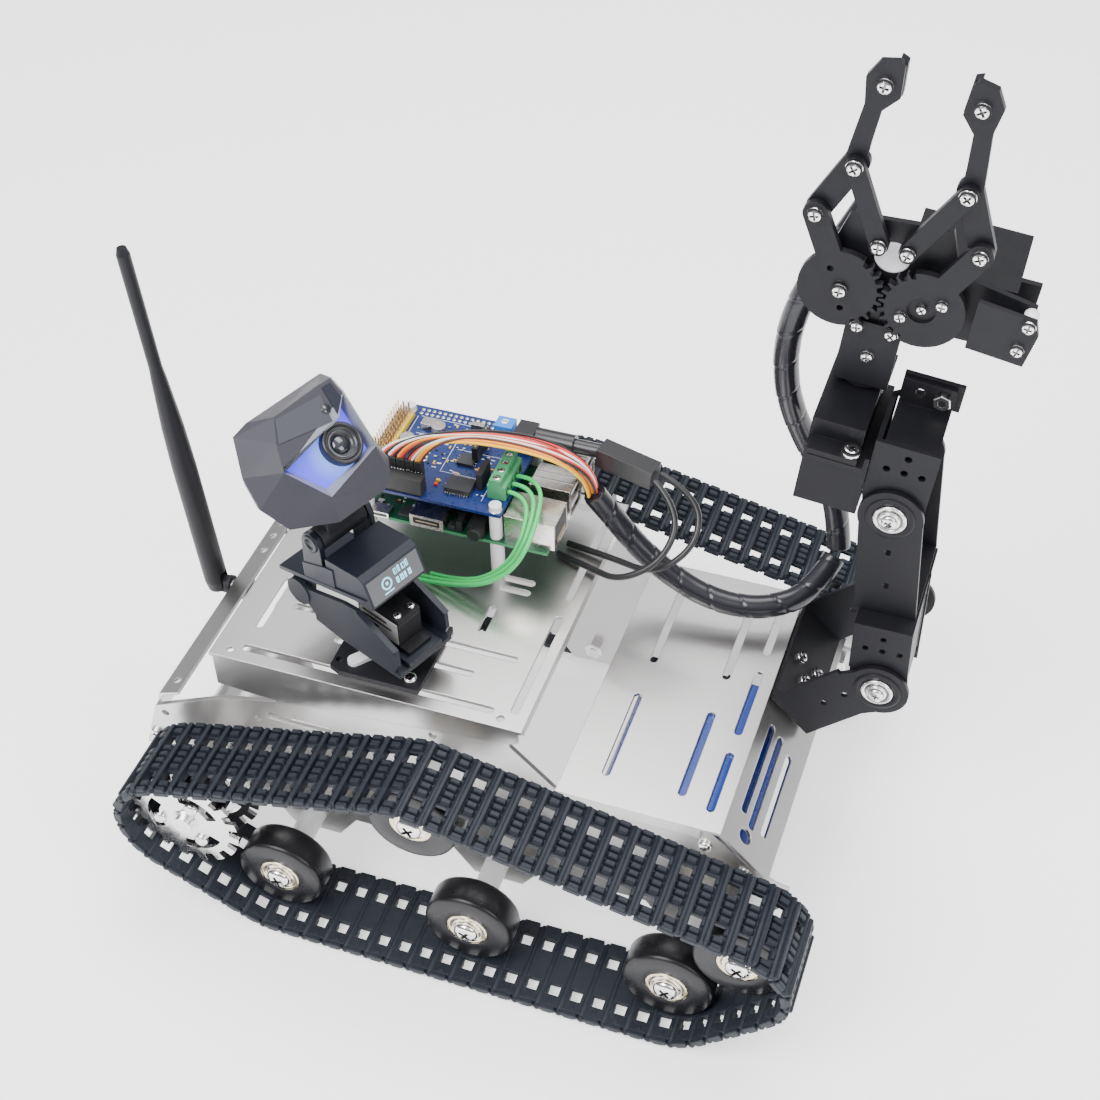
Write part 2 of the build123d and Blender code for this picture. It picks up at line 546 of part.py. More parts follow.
with BuildPart() as pin_headers:
    z = HAT_Z
    for i in range(3):                                                             # three rows of servo pins
        x = PI_X - 0.2 + 2.54 * (i + 0.5)
        span(x - 1.2, x + 1.2, PI_Y + 11.0, PI_Y + 48.6, z, z + 2.5)
        for k in range(14):
            span(x - 0.32, x + 0.32, PI_Y + 12.2 + 2.54 * k, PI_Y + 12.84 + 2.54 * k, z + 2.5, z + 9.5)
    span(PI_X + 9.0, PI_X + 30.0, PI_Y + 0.6, PI_Y + 5.6, z, z + 8.0)               # shrouded plugs
    for k in range(5):
        span(PI_X + 9.4 + 4.0 * k, PI_X + 12.2 + 4.0 * k, PI_Y + 6.4, PI_Y + 8.6, z, z + 13.0)
    span(PI_X + 50.0, PI_X + 52.5, PI_Y + 12.0, PI_Y + 22.2, z, z + 8.5)
    span(PI_X + 7.1, PI_X + 57.9, PI_Y + 50.0, PI_Y + 55.0, PI_Z, HAT_Z - PCB_T)     # stacking header
save(pin_headers, "pin_headers")

with BuildPart() as terminal_block:
    z = HAT_Z
    span(PI_X + 56.0, PI_X + 64.0, PI_Y + 9.0, PI_Y + 29.5, z, z + 7.0)
    xy_prism([(PI_X + 57.0, PI_Y + 9.0), (PI_X + 62.0, PI_Y + 9.0), (PI_X + 62.0, PI_Y + 29.5), (PI_X + 57.0, PI_Y + 29.5)], z + 7.0, z + 10.0)
    for k in range(4):
        yk = PI_Y + 11.6 + 5.08 * k
        cyl((PI_X + 59.5, yk, z + 10.5), (0, 0, -1), 1.7, 1.6, Mode.SUBTRACT)
        span(PI_X + 62.0, PI_X + 66.0, yk - 1.4, yk + 1.4, z + 1.5, z + 4.8, Mode.SUBTRACT)
save(terminal_block, "terminal_block")

# ------------------------------------------------------------------ power plug and leads
with BuildPart() as power_plug:
    span(PI_X + 56.5, PI_X + 65.0, PI_Y + 40.5, PI_Y + 49.0, HAT_Z, HAT_Z + 10.5)     # jack
    cyl((PI_X + 65.0, PI_Y + 44.8, HAT_Z + 5.8), (1, 0, 0), 4.6, 17)
    cyl((PI_X + 82.0, PI_Y + 44.8, HAT_Z + 5.8), (1, 0, 0), 3.2, 12)
    with Locations(Location((PI_X + 106.0, PI_Y + 43.0, HAT_Z + 3.6), (0, 6, -10))):
        Box(26, 9, 9)
save(power_plug, "power_plug")

with BuildPart() as power_leads:
    cord([(PI_X + 119.2, PI_Y + 38.0, HAT_Z + 2.0), (PI_X + 133.0, PI_Y + 31.0, HAT_Z - 5), (PI_X + 131.0, PI_Y + 15.0, HAT_Z - 19),
          (PI_X + 114.0, PI_Y + 8.0, HAT_Z - 30), (PI_X + 98.0, PI_Y + 16.0, HAT_Z - 34.5), (PI_X + 82.0, PI_Y + 21.0, HAT_Z - 35.0)], 1.5, "power a")
    cord([(PI_X + 120.2, PI_Y + 43.0, HAT_Z + 2.0), (PI_X + 138.0, PI_Y + 41.0, HAT_Z - 4), (PI_X + 142.0, PI_Y + 26.0, HAT_Z - 17),
          (PI_X + 127.0, PI_Y + 15.0, HAT_Z - 29), (PI_X + 104.0, PI_Y + 25.0, HAT_Z - 34.5), (PI_X + 84.0, PI_Y + 28.0, HAT_Z - 35.0)], 1.5, "power b")
save(power_leads, "power_leads")

# ------------------------------------------------------------------ green motor wires
TB = (PI_X + 64.5, PI_Y + 11.6, HAT_Z + 3.2)
with BuildPart() as motor_wires:
    for k in range(3):
        y = TB[1] + 5.08 * k
        cord([(TB[0] - 1.0, y, TB[2]), (-13.0 + 2 * k, y - 1, TB[2] + 1.4 + 1.3 * k), (-9.0 + 2.5 * k, 1.5 - 1.5 * k, TB[2] - 4 + k), (-15.0 + 1.5 * k, -4.0 - 2.4 * k, 138.0),
              (-32.0, -5.5 - 2.6 * k, 124.0 + k), (-52.0 - 3 * k, 1.0 - 2.6 * k, DECK_Z + 1.3)], 1.0, "motor wire %d" % k)
save(motor_wires, "motor_wires")

# ------------------------------------------------------------------ servo lead harness
with BuildPart() as servo_wires:
    d0 = Vector(7.8, 1.9, -12.5).normalized()
    e1 = d0.cross(Vector(0, 0, 1)).normalized()
    e2 = d0.cross(e1)
    h0 = Vector(7.2, 42.6, 144.5)
    fans = [(0, 4.8, 0, 1.75, 1.7, "a"), (1, 2.4, 1.0, 1.7, -1.75, "b"), (2, 0.0, 2.2, 0, 0, "c"),
            (3, -2.4, 3.0, -1.7, 1.75, "d"), (4, -4.8, 3.6, -1.75, -1.7, "e")]
    if e1.Y < 0:
        e1, e2 = e1 * -1, e2 * -1
    for i, dy, dz, o1, o2, nm in fans:
        o = e1 * o1 + e2 * o2
        p5, p6 = Vector(5.4, 42.1, 156.4) + o, h0 - d0 * 1.2 + o
        cord([(PI_X + 10.8 + 4.0 * i, PI_Y + 7.5, HAT_Z + 13.9), (PI_X + 15.0 + 4.0 * i, PI_Y + 10 + dy * 0.4, HAT_Z + 19 + dz),
              (-40.0, 31.0 + dy, 172.0 + dz), (-11.5, 37.0 + dy, 169.0 + dz * 0.5), (p5.X, p5.Y, p5.Z), (p6.X, p6.Y, p6.Z)],
             1.1, "servo lead " + nm)
save(servo_wires, "servo_wires")

HARNESS = [(7.2, 42.6, 144.5), (15.0, 44.5, 132.0), (27.0, 44.5, 117.0), (45.0, 41.5, 106.0), (64.0, 39.5, 100.5),
           (84.0, 42.0, 100.0), (101.0, 53.0, 104.0), (107.0, 67.5, 114.3)]
with BuildPart() as harness_deck:
    cord(HARNESS, 5.2, "harness deck")
save(harness_deck, "harness_deck")

HARNESS_UP = [(107.9, 69.6, 119.5), (106.0, 73.5, 135.0), (97.0, 71.0, 160.0), (86.0, 66.0, 185.0), (80.5, 62.0, 208.0),
              (80.0, 60.0, 232.0), (85.0, 61.0, 254.0), (95.0, 66.0, 272.0), (103.0, 73.0, 288.0)]
with BuildPart() as harness_arm:
    cord(HARNESS_UP, 5.2, "harness arm")
save(harness_arm, "harness_arm")

# ------------------------------------------------------------------ antenna
AX, AY, AZ = -166.9, 12.0, 67.0
with BuildPart() as antenna_socket:
    cyl((-158.6, AY, AZ), (1, 0, 0), 3.2, 12.0)
    cyl((-152.4, AY, AZ), (1, 0, 0), 5.4, 2.4)
save(antenna_socket, "antenna_socket")

with BuildPart() as antenna_knuckle:
    cyl((-159.0, AY, AZ), (-1, 0, 0), 4.6, 1.6)
    xz_prism([(-160.2, AZ - 3.6), (-160.2, AZ + 3.6), (AX + 1.5, AZ + 3.6), (AX - 2.6, AZ + 2.6), (AX - 3.6, AZ), (AX - 2.6, AZ - 2.6), (AX + 1.5, AZ - 3.6)], AY - 2.4, AY + 2.4)
    cyl((AX, AY - 3.0, AZ), (0, 1, 0), 1.25, 6.0, Mode.SUBTRACT)
save(antenna_knuckle, "antenna_knuckle")

WHIP_LEAN = 4.0
with BuildPart() as antenna_whip:
    # local frame: pivot at the origin, whip along +z
    with BuildSketch(Plane.XZ):
        with BuildLine():
            Polyline((0, -5.0), (2.6, -4.6), (4.6, -2.6), (5.4, 2.6), (5.4, 70.0), (4.9, 92.0), (3.4, 118.0), (2.9, 124.0), (2.9, 180.0), (2.0, 183.0), (0, 183.0), close=True)
        make_face()
    revolve(axis=Axis.Z)
    span(-7, 7, -2.8, 2.8, -7.5, 7.2, Mode.SUBTRACT)
    cyl((0, -4.2, 0), (0, 1, 0), 1.2, 8.4)
save(antenna_whip, "antenna_whip", Location((AX, AY, AZ), (0, -WHIP_LEAN, 0)))

# ------------------------------------------------------------------ pan and tilt head
with BuildPart() as pan_base_plate:
    xy_prism([(-70.4, -61.5), (-66.0, -63.5), (-31.4, -63.7), (-31.0, -50.0), (-31.0, -26.5), (-41.0, -26.5), (-60.0, -31.0), (-70.8, -44.0)], DECK_Z, DECK_Z + 2.5)
    cyl((-68.0, -57.5, DECK_Z - 1), (0, 0, 1), 1.5, 6, Mode.SUBTRACT)
    for x, y in [(-36.5, -58.6), (-36.3, -28.9)]:
        cyl((x, y, DECK_Z - 1), (0, 0, 1), 1.45, 6, Mode.SUBTRACT)
    cyl((PAN[0], PAN[1], DECK_Z + 2.5), (0, 0, 1), 6.0, 2.3)
    # white servo horn lying out past the bracket
    with BuildSketch(Plane(origin=(-58.5, -53.5, DECK_Z + 2.5))):
        SlotOverall(15, 5.4, rotation=50)
    extrude(amount=1.8)
save(pan_base_plate, "pan_base_plate")

PZ = DECK_Z + 5.2
ca, sa = math.cos(math.radians(HEAD_AZ)), math.sin(math.radians(HEAD_AZ))
ce, se = math.cos(math.radians(HEAD_EL)), math.sin(math.radians(HEAD_EL))
# pan frame: origin on the pan axis at z = 0, x the way the head faces
PAN_LOC = Plane(origin=(PAN[0], PAN[1], 0), x_dir=(ca, sa, 0), z_dir=(0, 0, 1)).location
TX, TZ = -21.0, 175.5                             # camera hinge in the pan frame
RX, RZ = -33.0, 142.0                             # tilt pivot at the rear of the cradle
CY = 12.7                                         # inside half width of the cradle


def shelf_z(f):
    return 148.9 + (f + 42.7) * 0.2551


with BuildPart() as pan_bracket:
    # cradle floor with two sloping cheeks that end in round ears at the rear
    span(-11.5, 23.3, -CY - 1.8, CY + 1.8, 129.4, 131.4)
    span(12.0, 23.3, -9.0, 9.0, 131.4, 133.6)
    span(-7.6, 15.9, -6.5, 6.5, 129.0, 134.0, Mode.SUBTRACT)
    span(17.6, 19.4, -1.2, 1.2, 129.0, 134.0, Mode.SUBTRACT)
    for s in (-1, 1):
        lo, hi = sorted((s * CY, s * (CY + 1.8)))
        xz_prism([(-24.5, 131.0), (-11.5, 129.4), (19.5, 129.4), (22.6, 136.0), (22.2, 144.0), (2.0, 153.4), (-6.0, 152.6), (-27.0, 146.5), (-36.0, 148.0),
                  (-39.4, 144.0), (-39.0, 139.0), (-35.5, 135.9), (-28.0, 137.4), (-24.8, 134.6)], lo, hi)
        cyl((-33.0, s * (CY + 0.9) - 1.5, 142.0), (0, 1, 0), 6.3, 3.0)
        xz_prism([(2.0, 153.4), (22.2, 144.0), (21.2, 142.1), (1.2, 151.4)], min(s * CY, s * (CY + 2.6)), max(s * CY, s * (CY + 2.6)))
    span(-42.0, -24.0, -CY + 0.001, CY - 0.001, 134.0, 152.0, Mode.SUBTRACT)
    cyl((RX, -CY - 1.0, RZ), (0, 1, 0), 1.5, 2 * CY + 2.0)
save(pan_bracket, "pan_bracket", PAN_LOC)

with BuildPart() as pan_servo:
    span(-7.2, 15.5, -6.1, 6.1, 127.4, 149.6)
    span(-11.8, 20.2, -6.1, 6.1, 133.9, 135.6)
    cyl((0, 0, PZ), (0, 0, 1), 5.8, 6.0)
    for sy in (-3.0, 3.0):
        cyl((12.8, sy, 149.6), (0, 0, 1), 1.5, 0.8)
save(pan_servo, "pan_servo", PAN_LOC)

# tilting shelf, hung on the cradle's rear pin, with the display case on it
with BuildPart() as display_box:
    xz_prism([(-42.7, shelf_z(-42.7)), (6.3, shelf_z(6.3)), (9.0, 164.0), (-42.7, shelf_z(-42.7) + 2.0)], -15.2, 15.2)
    xz_prism([(-13.5, shelf_z(-13.5) + 1), (-13.5, 172.0), (4.6, 173.4), (7.6, 171.6), (12.0, 160.4), (5.0, 159.6)], -14.5, 14.5)
    for s in (-1, 1):
        lo, hi = sorted((s * 12.2, s * 15.0))
        xz_prism([(-27.0, shelf_z(-27) + 1), (-9.0, shelf_z(-9) + 1), (-9.4, 168.4), (-13.6, 167.6), (-27.4, 162.2)], lo, hi)
        lo, hi = sorted((s * 12.2, s * 14.6))
        xz_prism([(-27.0, 156.0), (-15.0, 158.0), (TX + 5.1, TZ), (TX + 3.4, TZ + 3.8), (TX, TZ + 5.2), (TX - 3.4, TZ + 3.8), (TX - 5.1, TZ)], lo, hi)
        lo, hi = sorted((s * 9.6, s * 12.2))
        xz_prism([(-39.0, 150.6), (-26.5, 153.9), (RX + 5.0, RZ), (RX + 3.3, RZ - 3.7), (RX, RZ - 5.0), (RX - 3.3, RZ - 3.7), (RX - 5.0, RZ)], lo, hi)
    cyl((RX, -13, RZ), (0, 1, 0), 1.56, 26.0, Mode.SUBTRACT)
    cyl((TX, -14.6, TZ), (0, 1, 0), 1.5, 29.2)
save(display_box, "display_box", PAN_LOC)

# the head, in its own frame: x out of the face, y to the head's left, z up the face
HN = (ca * ce, sa * ce, se)
HH = (-sa, ca, 0.0)
LENS = (-62.7, -42.0, 222.9)
head_plane = Plane(origin=LENS, x_dir=HN, z_dir=(HN[1] * HH[2] - HN[2] * HH[1], HN[2] * HH[0] - HN[0] * HH[2], HN[0] * HH[1] - HN[1] * HH[0]))
HEAD_LOC = head_plane.location


def oct_pts(y0, y1, z0, z1, c):
    return [(y0 + c, z0), (y1 - c, z0), (y1, z0 + c), (y1, z1 - c), (y1 - c, z1), (y0 + c, z1), (y0, z1 - c), (y0, z0 + c)]


def yz_prism(pts, x0, x1, mode=Mode.ADD):
    with BuildSketch(Plane(origin=(x0, 0, 0), x_dir=(0, 1, 0), z_dir=(1, 0, 0))) as sk:
        with BuildLine():
            Polyline(*pts, close=True)
        make_face()
    extrude(sk.sketch, amount=x1 - x0, dir=(1, 0, 0), mode=mode)


with BuildPart() as camera_head:
    with BuildSketch(Plane(origin=(-30, 0, 0), x_dir=(0, 1, 0), z_dir=(1, 0, 0))):
        with BuildLine():
            Polyline(*oct_pts(-26, 24, -16, 27, 9), close=True)
        make_face()
    with BuildSketch(Plane(origin=(-12, 0, 0), x_dir=(0, 1, 0), z_dir=(1, 0, 0))):
        with BuildLine():
            Polyline(*oct_pts(-32, 27, -21, 35, 13), close=True)
        make_face()
    with BuildSketch(Plane(origin=(3, 0, 0), x_dir=(0, 1, 0), z_dir=(1, 0, 0))):
        with BuildLine():
            Polyline(*oct_pts(-26, 19, -14, 30, 10), close=True)
        make_face()
    loft(ruled=True)
    # recessed face with the lens
    yz_prism([(-21, -9), (-4, -12), (14, -12), (14, 11), (-21, 11), (-23, 0)], -4, 6, Mode.SUBTRACT)
    yz_prism([(-20, 12.5), (10, 12.5), (8, 24), (-18, 24)], -1, 6, Mode.SUBTRACT)
    cyl((-10, 0, 0), (1, 0, 0), 5.2, 12, Mode.SUBTRACT)

with BuildPart() as camera_lens:
    cyl((-9.6, 0, 0), (1, 0, 0), 5.0, 6.0)
    cyl((-3.9, 0, 0), (1, 0, 0), 7.5, 6.0)
    cyl((1.2, 0, 0), (1, 0, 0), 5.6, 3, Mode.SUBTRACT)
save(camera_lens, "camera_lens", HEAD_LOC)

# neck under the head, turning on the pin between the pan bracket's ears
with BuildPart() as head_neck:
    cyl((TX, -11.8, TZ), (0, 1, 0), 5.1, 23.6)
    xz_prism([(TX - 4.6, TZ), (TX + 4.6, TZ + 1), (TX + 2.5, TZ + 19), (TX - 13.0, TZ + 28)], -8.5, 9.5)
    cyl((TX, -13, TZ), (0, 1, 0), 1.56, 26.0, Mode.SUBTRACT)
with BuildPart() as head_and_neck:
    add(camera_head.part.moved(HEAD_LOC))
    add(head_neck.part.moved(PAN_LOC))
save(head_and_neck, "camera_head")

# ------------------------------------------------------------------ arm base bracket
# local frame on the nose: u along the cheek (out of the nose), v down the nose
ba = math.radians(46.0)
bu = (math.sin(ba), math.cos(ba))                 # out of the nose, x and z
bv = (math.cos(ba), -math.sin(ba))                # down the nose
B0 = (97.3, 88.6)


def bp(u, v):
    return (B0[0] + bu[0] * u + bv[0] * v, B0[1] + bu[1] * u + bv[1] * v)


with BuildPart() as arm_base_bracket:
    y0, y1 = BASE_Y
    xz_prism([bp(0, 0), bp(0, 23.6), bp(BRK_T, 23.6), bp(BRK_T, 0)], y0, y1)
    for lo in (y0, y1 - BRK_T):
        xz_prism([bp(0, 0), bp(0, 23.6), bp(36, 23.6), bp(36, 0)], lo, lo + BRK_T)
        cyl((SHOULDER[0], lo, SHOULDER[1]), (0, 1, 0), 12.6, BRK_T)
        xz_prism([bp(30, 0), bp(30, 23.6), (SHOULDER[0] + bv[0] * 12.0, SHOULDER[1] + bv[1] * 12.0), (SHOULDER[0] - bv[0] * 12.0, SHOULDER[1] - bv[1] * 12.0)], lo, lo + BRK_T)
    cyl((SHOULDER[0], y0 - 1, SHOULDER[1]), (0, 1, 0), 4.06, BRK_T + 2, Mode.SUBTRACT)
    cyl((SHOULDER[0], y1 - BRK_T - 1, SHOULDER[1]), (0, 1, 0), 3.06, BRK_T + 2, Mode.SUBTRACT)
    for k in range(4):
        a = math.radians(90 * k + 20)
        cyl((SHOULDER[0] + 8.0 * math.cos(a), y0 - 1, SHOULDER[1] + 8.0 * math.sin(a)), (0, 1, 0), 1.3, BRK_T + 2, Mode.SUBTRACT)
        cyl((SHOULDER[0] + 8.0 * math.cos(a), y1 - BRK_T - 1, SHOULDER[1] + 8.0 * math.sin(a)), (0, 1, 0), 1.3, BRK_T + 2, Mode.SUBTRACT)
    for u, v in [(19, 11.8), (30, 11.8)]:
        p = bp(u, v)
        cyl((p[0], y0 - 1, p[1]), (0, 1, 0), 1.4, 70, Mode.SUBTRACT)
    for yy, v in [(24.0, 12.0), (33.0, 6.5), (33.0, 17.5)]:
        p = bp(BRK_T, v)
        pan_head((p[0], yy, p[1]), (bu[0], 0, bu[1]), 2.6, 1.8)
save(arm_base_bracket, "arm_base_bracket")


# ------------------------------------------------------------------ shoulder frame and servo (upper arm body)
sx, sz = SHOULDER
with BuildPart() as shoulder_frame:
    # near plate with the bearing, top plate under the upper bracket, flange plate
    yn = BASE_Y[0] + BRK_T + 0.4
    capsule((sx, sz), (sx - 1.0, sz + 14), 11.4, yn, yn + BRK_T)
    xz_prism([(sx - 12.4, sz + 6), (sx + 10.8, sz + 6), (sx + 10.2, sz + 33), (sx - 13.0, sz + 33)], yn, yn + BRK_T)
    span(sx - 13.0, sx + 10.2, yn, 58.6, sz + 31.0, sz + 33.0)
    xz_prism([(sx - 13.0, sz - 15), (sx + 10.6, sz - 15), (sx + 10.6, sz + 33), (sx - 13.0, sz + 33)], 41.0, 43.0)
    span(sx - 10.6, sx + 9.8, 36, 46, sz - 10.2, sz + 33 - 2, Mode.SUBTRACT)
    span(sx - 13.0, sx - 11.0, yn, 43.0, sz + 8, sz + 33)
    cyl((sx, yn + 0.5, sz), (0, -1, 0), 4.0, 3.5)
    pan_head((sx, yn - 3.0, sz), (0, -1, 0), 3.2, 1.6)
    for dx, dz in [(-0.9, 27.2), (-7.4, 20.6), (-0.6, 20.6), (6.2, 20.6)]:
        cyl((sx + dx, yn - 1, sz + dz), (0, 1, 0), 1.3, 4, Mode.SUBTRACT)
save(shoulder_frame, "shoulder_frame")

with BuildPart() as shoulder_servo:
    span(sx - 10.4, sx + 9.6, 18.0, 55.0, sz - 10.0, sz + 30.6)
    span(sx - 10.4, sx + 9.6, 43.2, 45.6, sz - 17.0, sz + 30.9)
    cyl((sx, 55.0, sz), (0, 1, 0), 9.0, 2.2)
    cyl((sx, 57.0, sz), (0, 1, 0), 10.0, 2.4)
    cyl((sx, 59.2, sz), (0, 1, 0), 3.0, 4.6)
    cyl((sx, 62.4, sz), (0, 1, 0), 9.0, 2.2)
save(shoulder_servo, "shoulder_servo")

# ------------------------------------------------------------------ upper arm bracket
ex, ez = ELBOW
with BuildPart() as upper_arm_bracket:
    y0, y1 = UPPER_Y
    zb = sz + 33.0
    span(124.8, 149.4, y0, y1, zb, zb + BRK_T)
    for lo in (y0, y1 - BRK_T):
        xz_prism([(124.8, zb), (149.4, zb), (ex + 12.4, ez), (ex - 12.0, ez)], lo, lo + BRK_T)
        cyl((ex, lo, ez), (0, 1, 0), 12.6, BRK_T)
    cyl((ex, y0 - 1, ez), (0, 1, 0), 4.06, BRK_T + 2, Mode.SUBTRACT)
    cyl((ex, y1 - BRK_T - 1, ez), (0, 1, 0), 3.06, BRK_T + 2, Mode.SUBTRACT)
    for k in range(4):
        a = math.radians(90 * k + 5)
        for lo in (y0, y1 - BRK_T):
            cyl((ex + 8.0 * math.cos(a), lo - 1, ez + 8.0 * math.sin(a)), (0, 1, 0), 1.5, BRK_T + 2, Mode.SUBTRACT)
    for x, z in [(135.0, 173.7), (136.1, 156.1)]:
        cyl((x, y0 - 1, z), (0, 1, 0), 1.5, 60, Mode.SUBTRACT)
save(upper_arm_bracket, "upper_arm_bracket")

# ------------------------------------------------------------------ forearm: local frame at the elbow, leaning forward
FORE = Location((ex, 0, ez), (0, LEAN, 0))
with BuildPart() as elbow_frame:
    yn = UPPER_Y[0] + BRK_T + 0.4
    cyl((0, yn, 0), (0, 1, 0), 11.6, BRK_T)
    xz_prism([(-11.6, 0), (11.6, 0), (11.6, 33.2), (-13.0, 33.2), (-13.0, 8.0)], yn, yn + BRK_T)
    span(-13.0, -11.0, yn, 47.6, 6.0, 33.2)
    xz_prism([(-13.0, 6.0), (-10.5, 6.0), (-10.5, 33.0), (12.6, 33.0), (12.6, 45.0), (-10.4, 45.0), (-10.4, 35.0), (-13.0, 33.2)], 45.8, 47.6)
    cyl((0, yn + 0.5, 0), (0, -1, 0), 4.0, 3.5)
    pan_head((0, yn - 3.0, 0), (0, -1, 0), 3.2, 1.6)
    for dx, dz in [(0.2, 28.5), (-6.6, 21.5), (0.1, 21.5), (6.8, 21.5)]:
        cyl((dx, yn - 1, dz), (0, 1, 0), 1.4, 4, Mode.SUBTRACT)
    cyl((-3.0, 44, 39.0), (0, 1, 0), 2.0, 6, Mode.SUBTRACT)
    # nut on the flange
    with BuildSketch(Plane(origin=(5.7, 43.2, 39.0), x_dir=(1, 0, 0), z_dir=(0, -1, 0))):
        RegularPolygon(3.4, 6)
    extrude(amount=2.4)
save(elbow_frame, "elbow_frame", FORE)

with BuildPart() as elbow_servo:
    span(-10.0, 10.0, 20.0, 53.2, -8.0, 32.8)
    span(-10.0, 10.0, 43.4, 45.6, -13.0, 44.0)
    cyl((5.7, 42, 39.0), (0, 1, 0), 2.2, 8, Mode.SUBTRACT)
    cyl((-3.0, 42, 39.0), (0, 1, 0), 2.0, 8, Mode.SUBTRACT)
    cyl((0, 53.0, 0), (0, 1, 0), 8.0, 2.2)
    cyl((0, 54.8, 0), (0, 1, 0), 10.0, 2.2)
    cyl((0, 56.8, 0), (0, 1, 0), 3.0, 4.0)
    cyl((0, 59.8, 0), (0, 1, 0), 8.0, 2.0)
save(elbow_servo, "elbow_servo", FORE)

wx = WRIST_U
with BuildPart() as wrist_frame:
    # L plates that hold the wrist servo against the elbow frame's side wall
    span(-17.2, -13.2, 18.0, 62.0, -2.0, 24.0)
    span(wx - 12.2, -13.2, 18.0, 62.0, -4.0, -2.0)
    span(wx - 12.2, -13.2, 16.4, 18.2, -4.0, 24.0)
    span(wx - 10.4, -15.0, 10.4, 18.2, 22.0, 24.0)
save(wrist_frame, "wrist_frame", FORE)

with BuildPart() as wrist_servo:
    span(wx - 12.0, -17.4, 18.6, 60.2, -1.8, 24.2)
    span(wx - 11.0, -17.4, 10.6, 68.0, 24.2, 26.6)
    span(wx - 12.0, -17.4, 19.0, 60.0, 26.6, 34.4)
    cyl((wx, WRIST_Y, 34.4), (0, 0, 1), 7.0, 1.6)
    pan_head((-20.6, 14.4, 26.6), (0, 0, 1), 3.6, 2.2)
save(wrist_servo, "wrist_servo", FORE)

# ------------------------------------------------------------------ gripper: local frame at the elbow too
gw = GRIP_W
gx = wx
PLATE_Y = 42.0
with BuildPart() as gripper_base:
    # horn disc, foot and upright of the L bracket
    cyl((wx, WRIST_Y, 36.4), (0, 0, 1), 9.4, 2.0)
    span(wx - 10.4, wx + 10.4, 40.0, 60.0, 38.4, 40.4)
    xz_prism([(wx - 10.4, 38.4), (wx + 10.4, 38.4), (wx + 10.4, 62.0), (wx + 7.6, 66.6), (wx - 7.6, 66.6), (wx - 10.4, 62.0)], 40.0, 42.0)
    # back plate
    xz_prism([(gx - 20, gw - 10), (gx - 12, gw - 20), (gx + 12, gw - 20), (gx + 20, gw - 13), (gx + 53, gw - 12), (gx + 53, gw + 9),
              (gx + 30, gw + 13), (gx + 24, gw + 14), (gx + 18, gw + 31), (gx - 18, gw + 27), (gx - 22, gw + 12)], PLATE_Y, PLATE_Y + 2.4)
    cyl((gx, PLATE_Y - 1, gw + 14.0), (0, 1, 0), 6.4, 5, Mode.SUBTRACT)
    # front plate and spacers of the servo frame
    xz_prism([(gx + 33, gw - 9.5), (gx + 54, gw - 11), (gx + 56, gw + 3), (gx + 54, gw + 9), (gx + 33, gw + 11)], 34.0, 36.0)
    for dx, dz in [(51.8, 6.2), (50.5, -4.5), (36.5, 0.0)]:
        cyl((gx + dx, 36.0, gw + dz), (0, 1, 0), 2.6, 6.0)
        if dx != 36.5:
            pan_head((gx + dx, 34.0, gw + dz), (0, -1, 0), 2.6, 1.6)
    # pins that carry the idle gear and the inner links
    cyl((gx - GEAR_HALF, PLATE_Y, gw), (0, -1, 0), 2.0, 9.0)
    for s in (-1, 1):
        cyl((gx + s * LINK_B[0], PLATE_Y, gw + LINK_B[1]), (0, -1, 0), 1.5, 9.0)
        cyl((gx + s * LINK_B[0], PLATE_Y, gw + LINK_B[1]), (0, -1, 0), 2.6, 3.4)
        pan_head((gx + s * LINK_B[0], 34.4, gw + LINK_B[1]), (0, -1, 0), 2.8, 1.7)
    cyl((gx - GEAR_HALF, PLATE_Y, gw), (0, -1, 0), 3.4, 3.4)
    pan_head((gx - GEAR_HALF, 34.4, gw), (0, -1, 0), 2.9, 1.7)
    for dx, dz in [(-6.0, -17.2), (6.6, -17.2), (0.2, -29.4)]:
        pan_head((gx + dx, 40.0, gw + dz), (0, -1, 0), 2.6, 1.6)
    # clearance for the servo's output
    cyl((gx + GEAR_HALF, PLATE_Y - 1, gw), (0, 1, 0), 7.0, 5, Mode.SUBTRACT)
save(gripper_base, "gripper_base", FORE)

with BuildPart() as gripper_servo:
    c = gx + GEAR_HALF
    span(c - 10.2, c + 30.3, 46.0, 83.0, gw - 9.8, gw + 10.2)
    span(c - 17.6, c + 37.7, 53.5, 56.0, gw - 9.8, gw + 10.2)
    cyl((c, 46.0, gw), (0, -1, 0), 6.6, 3.4)
    cyl((c, 46.0, gw), (0, -1, 0), 2.6, 7.0)
save(gripper_servo, "gripper_servo", FORE)

GTEETH = 24


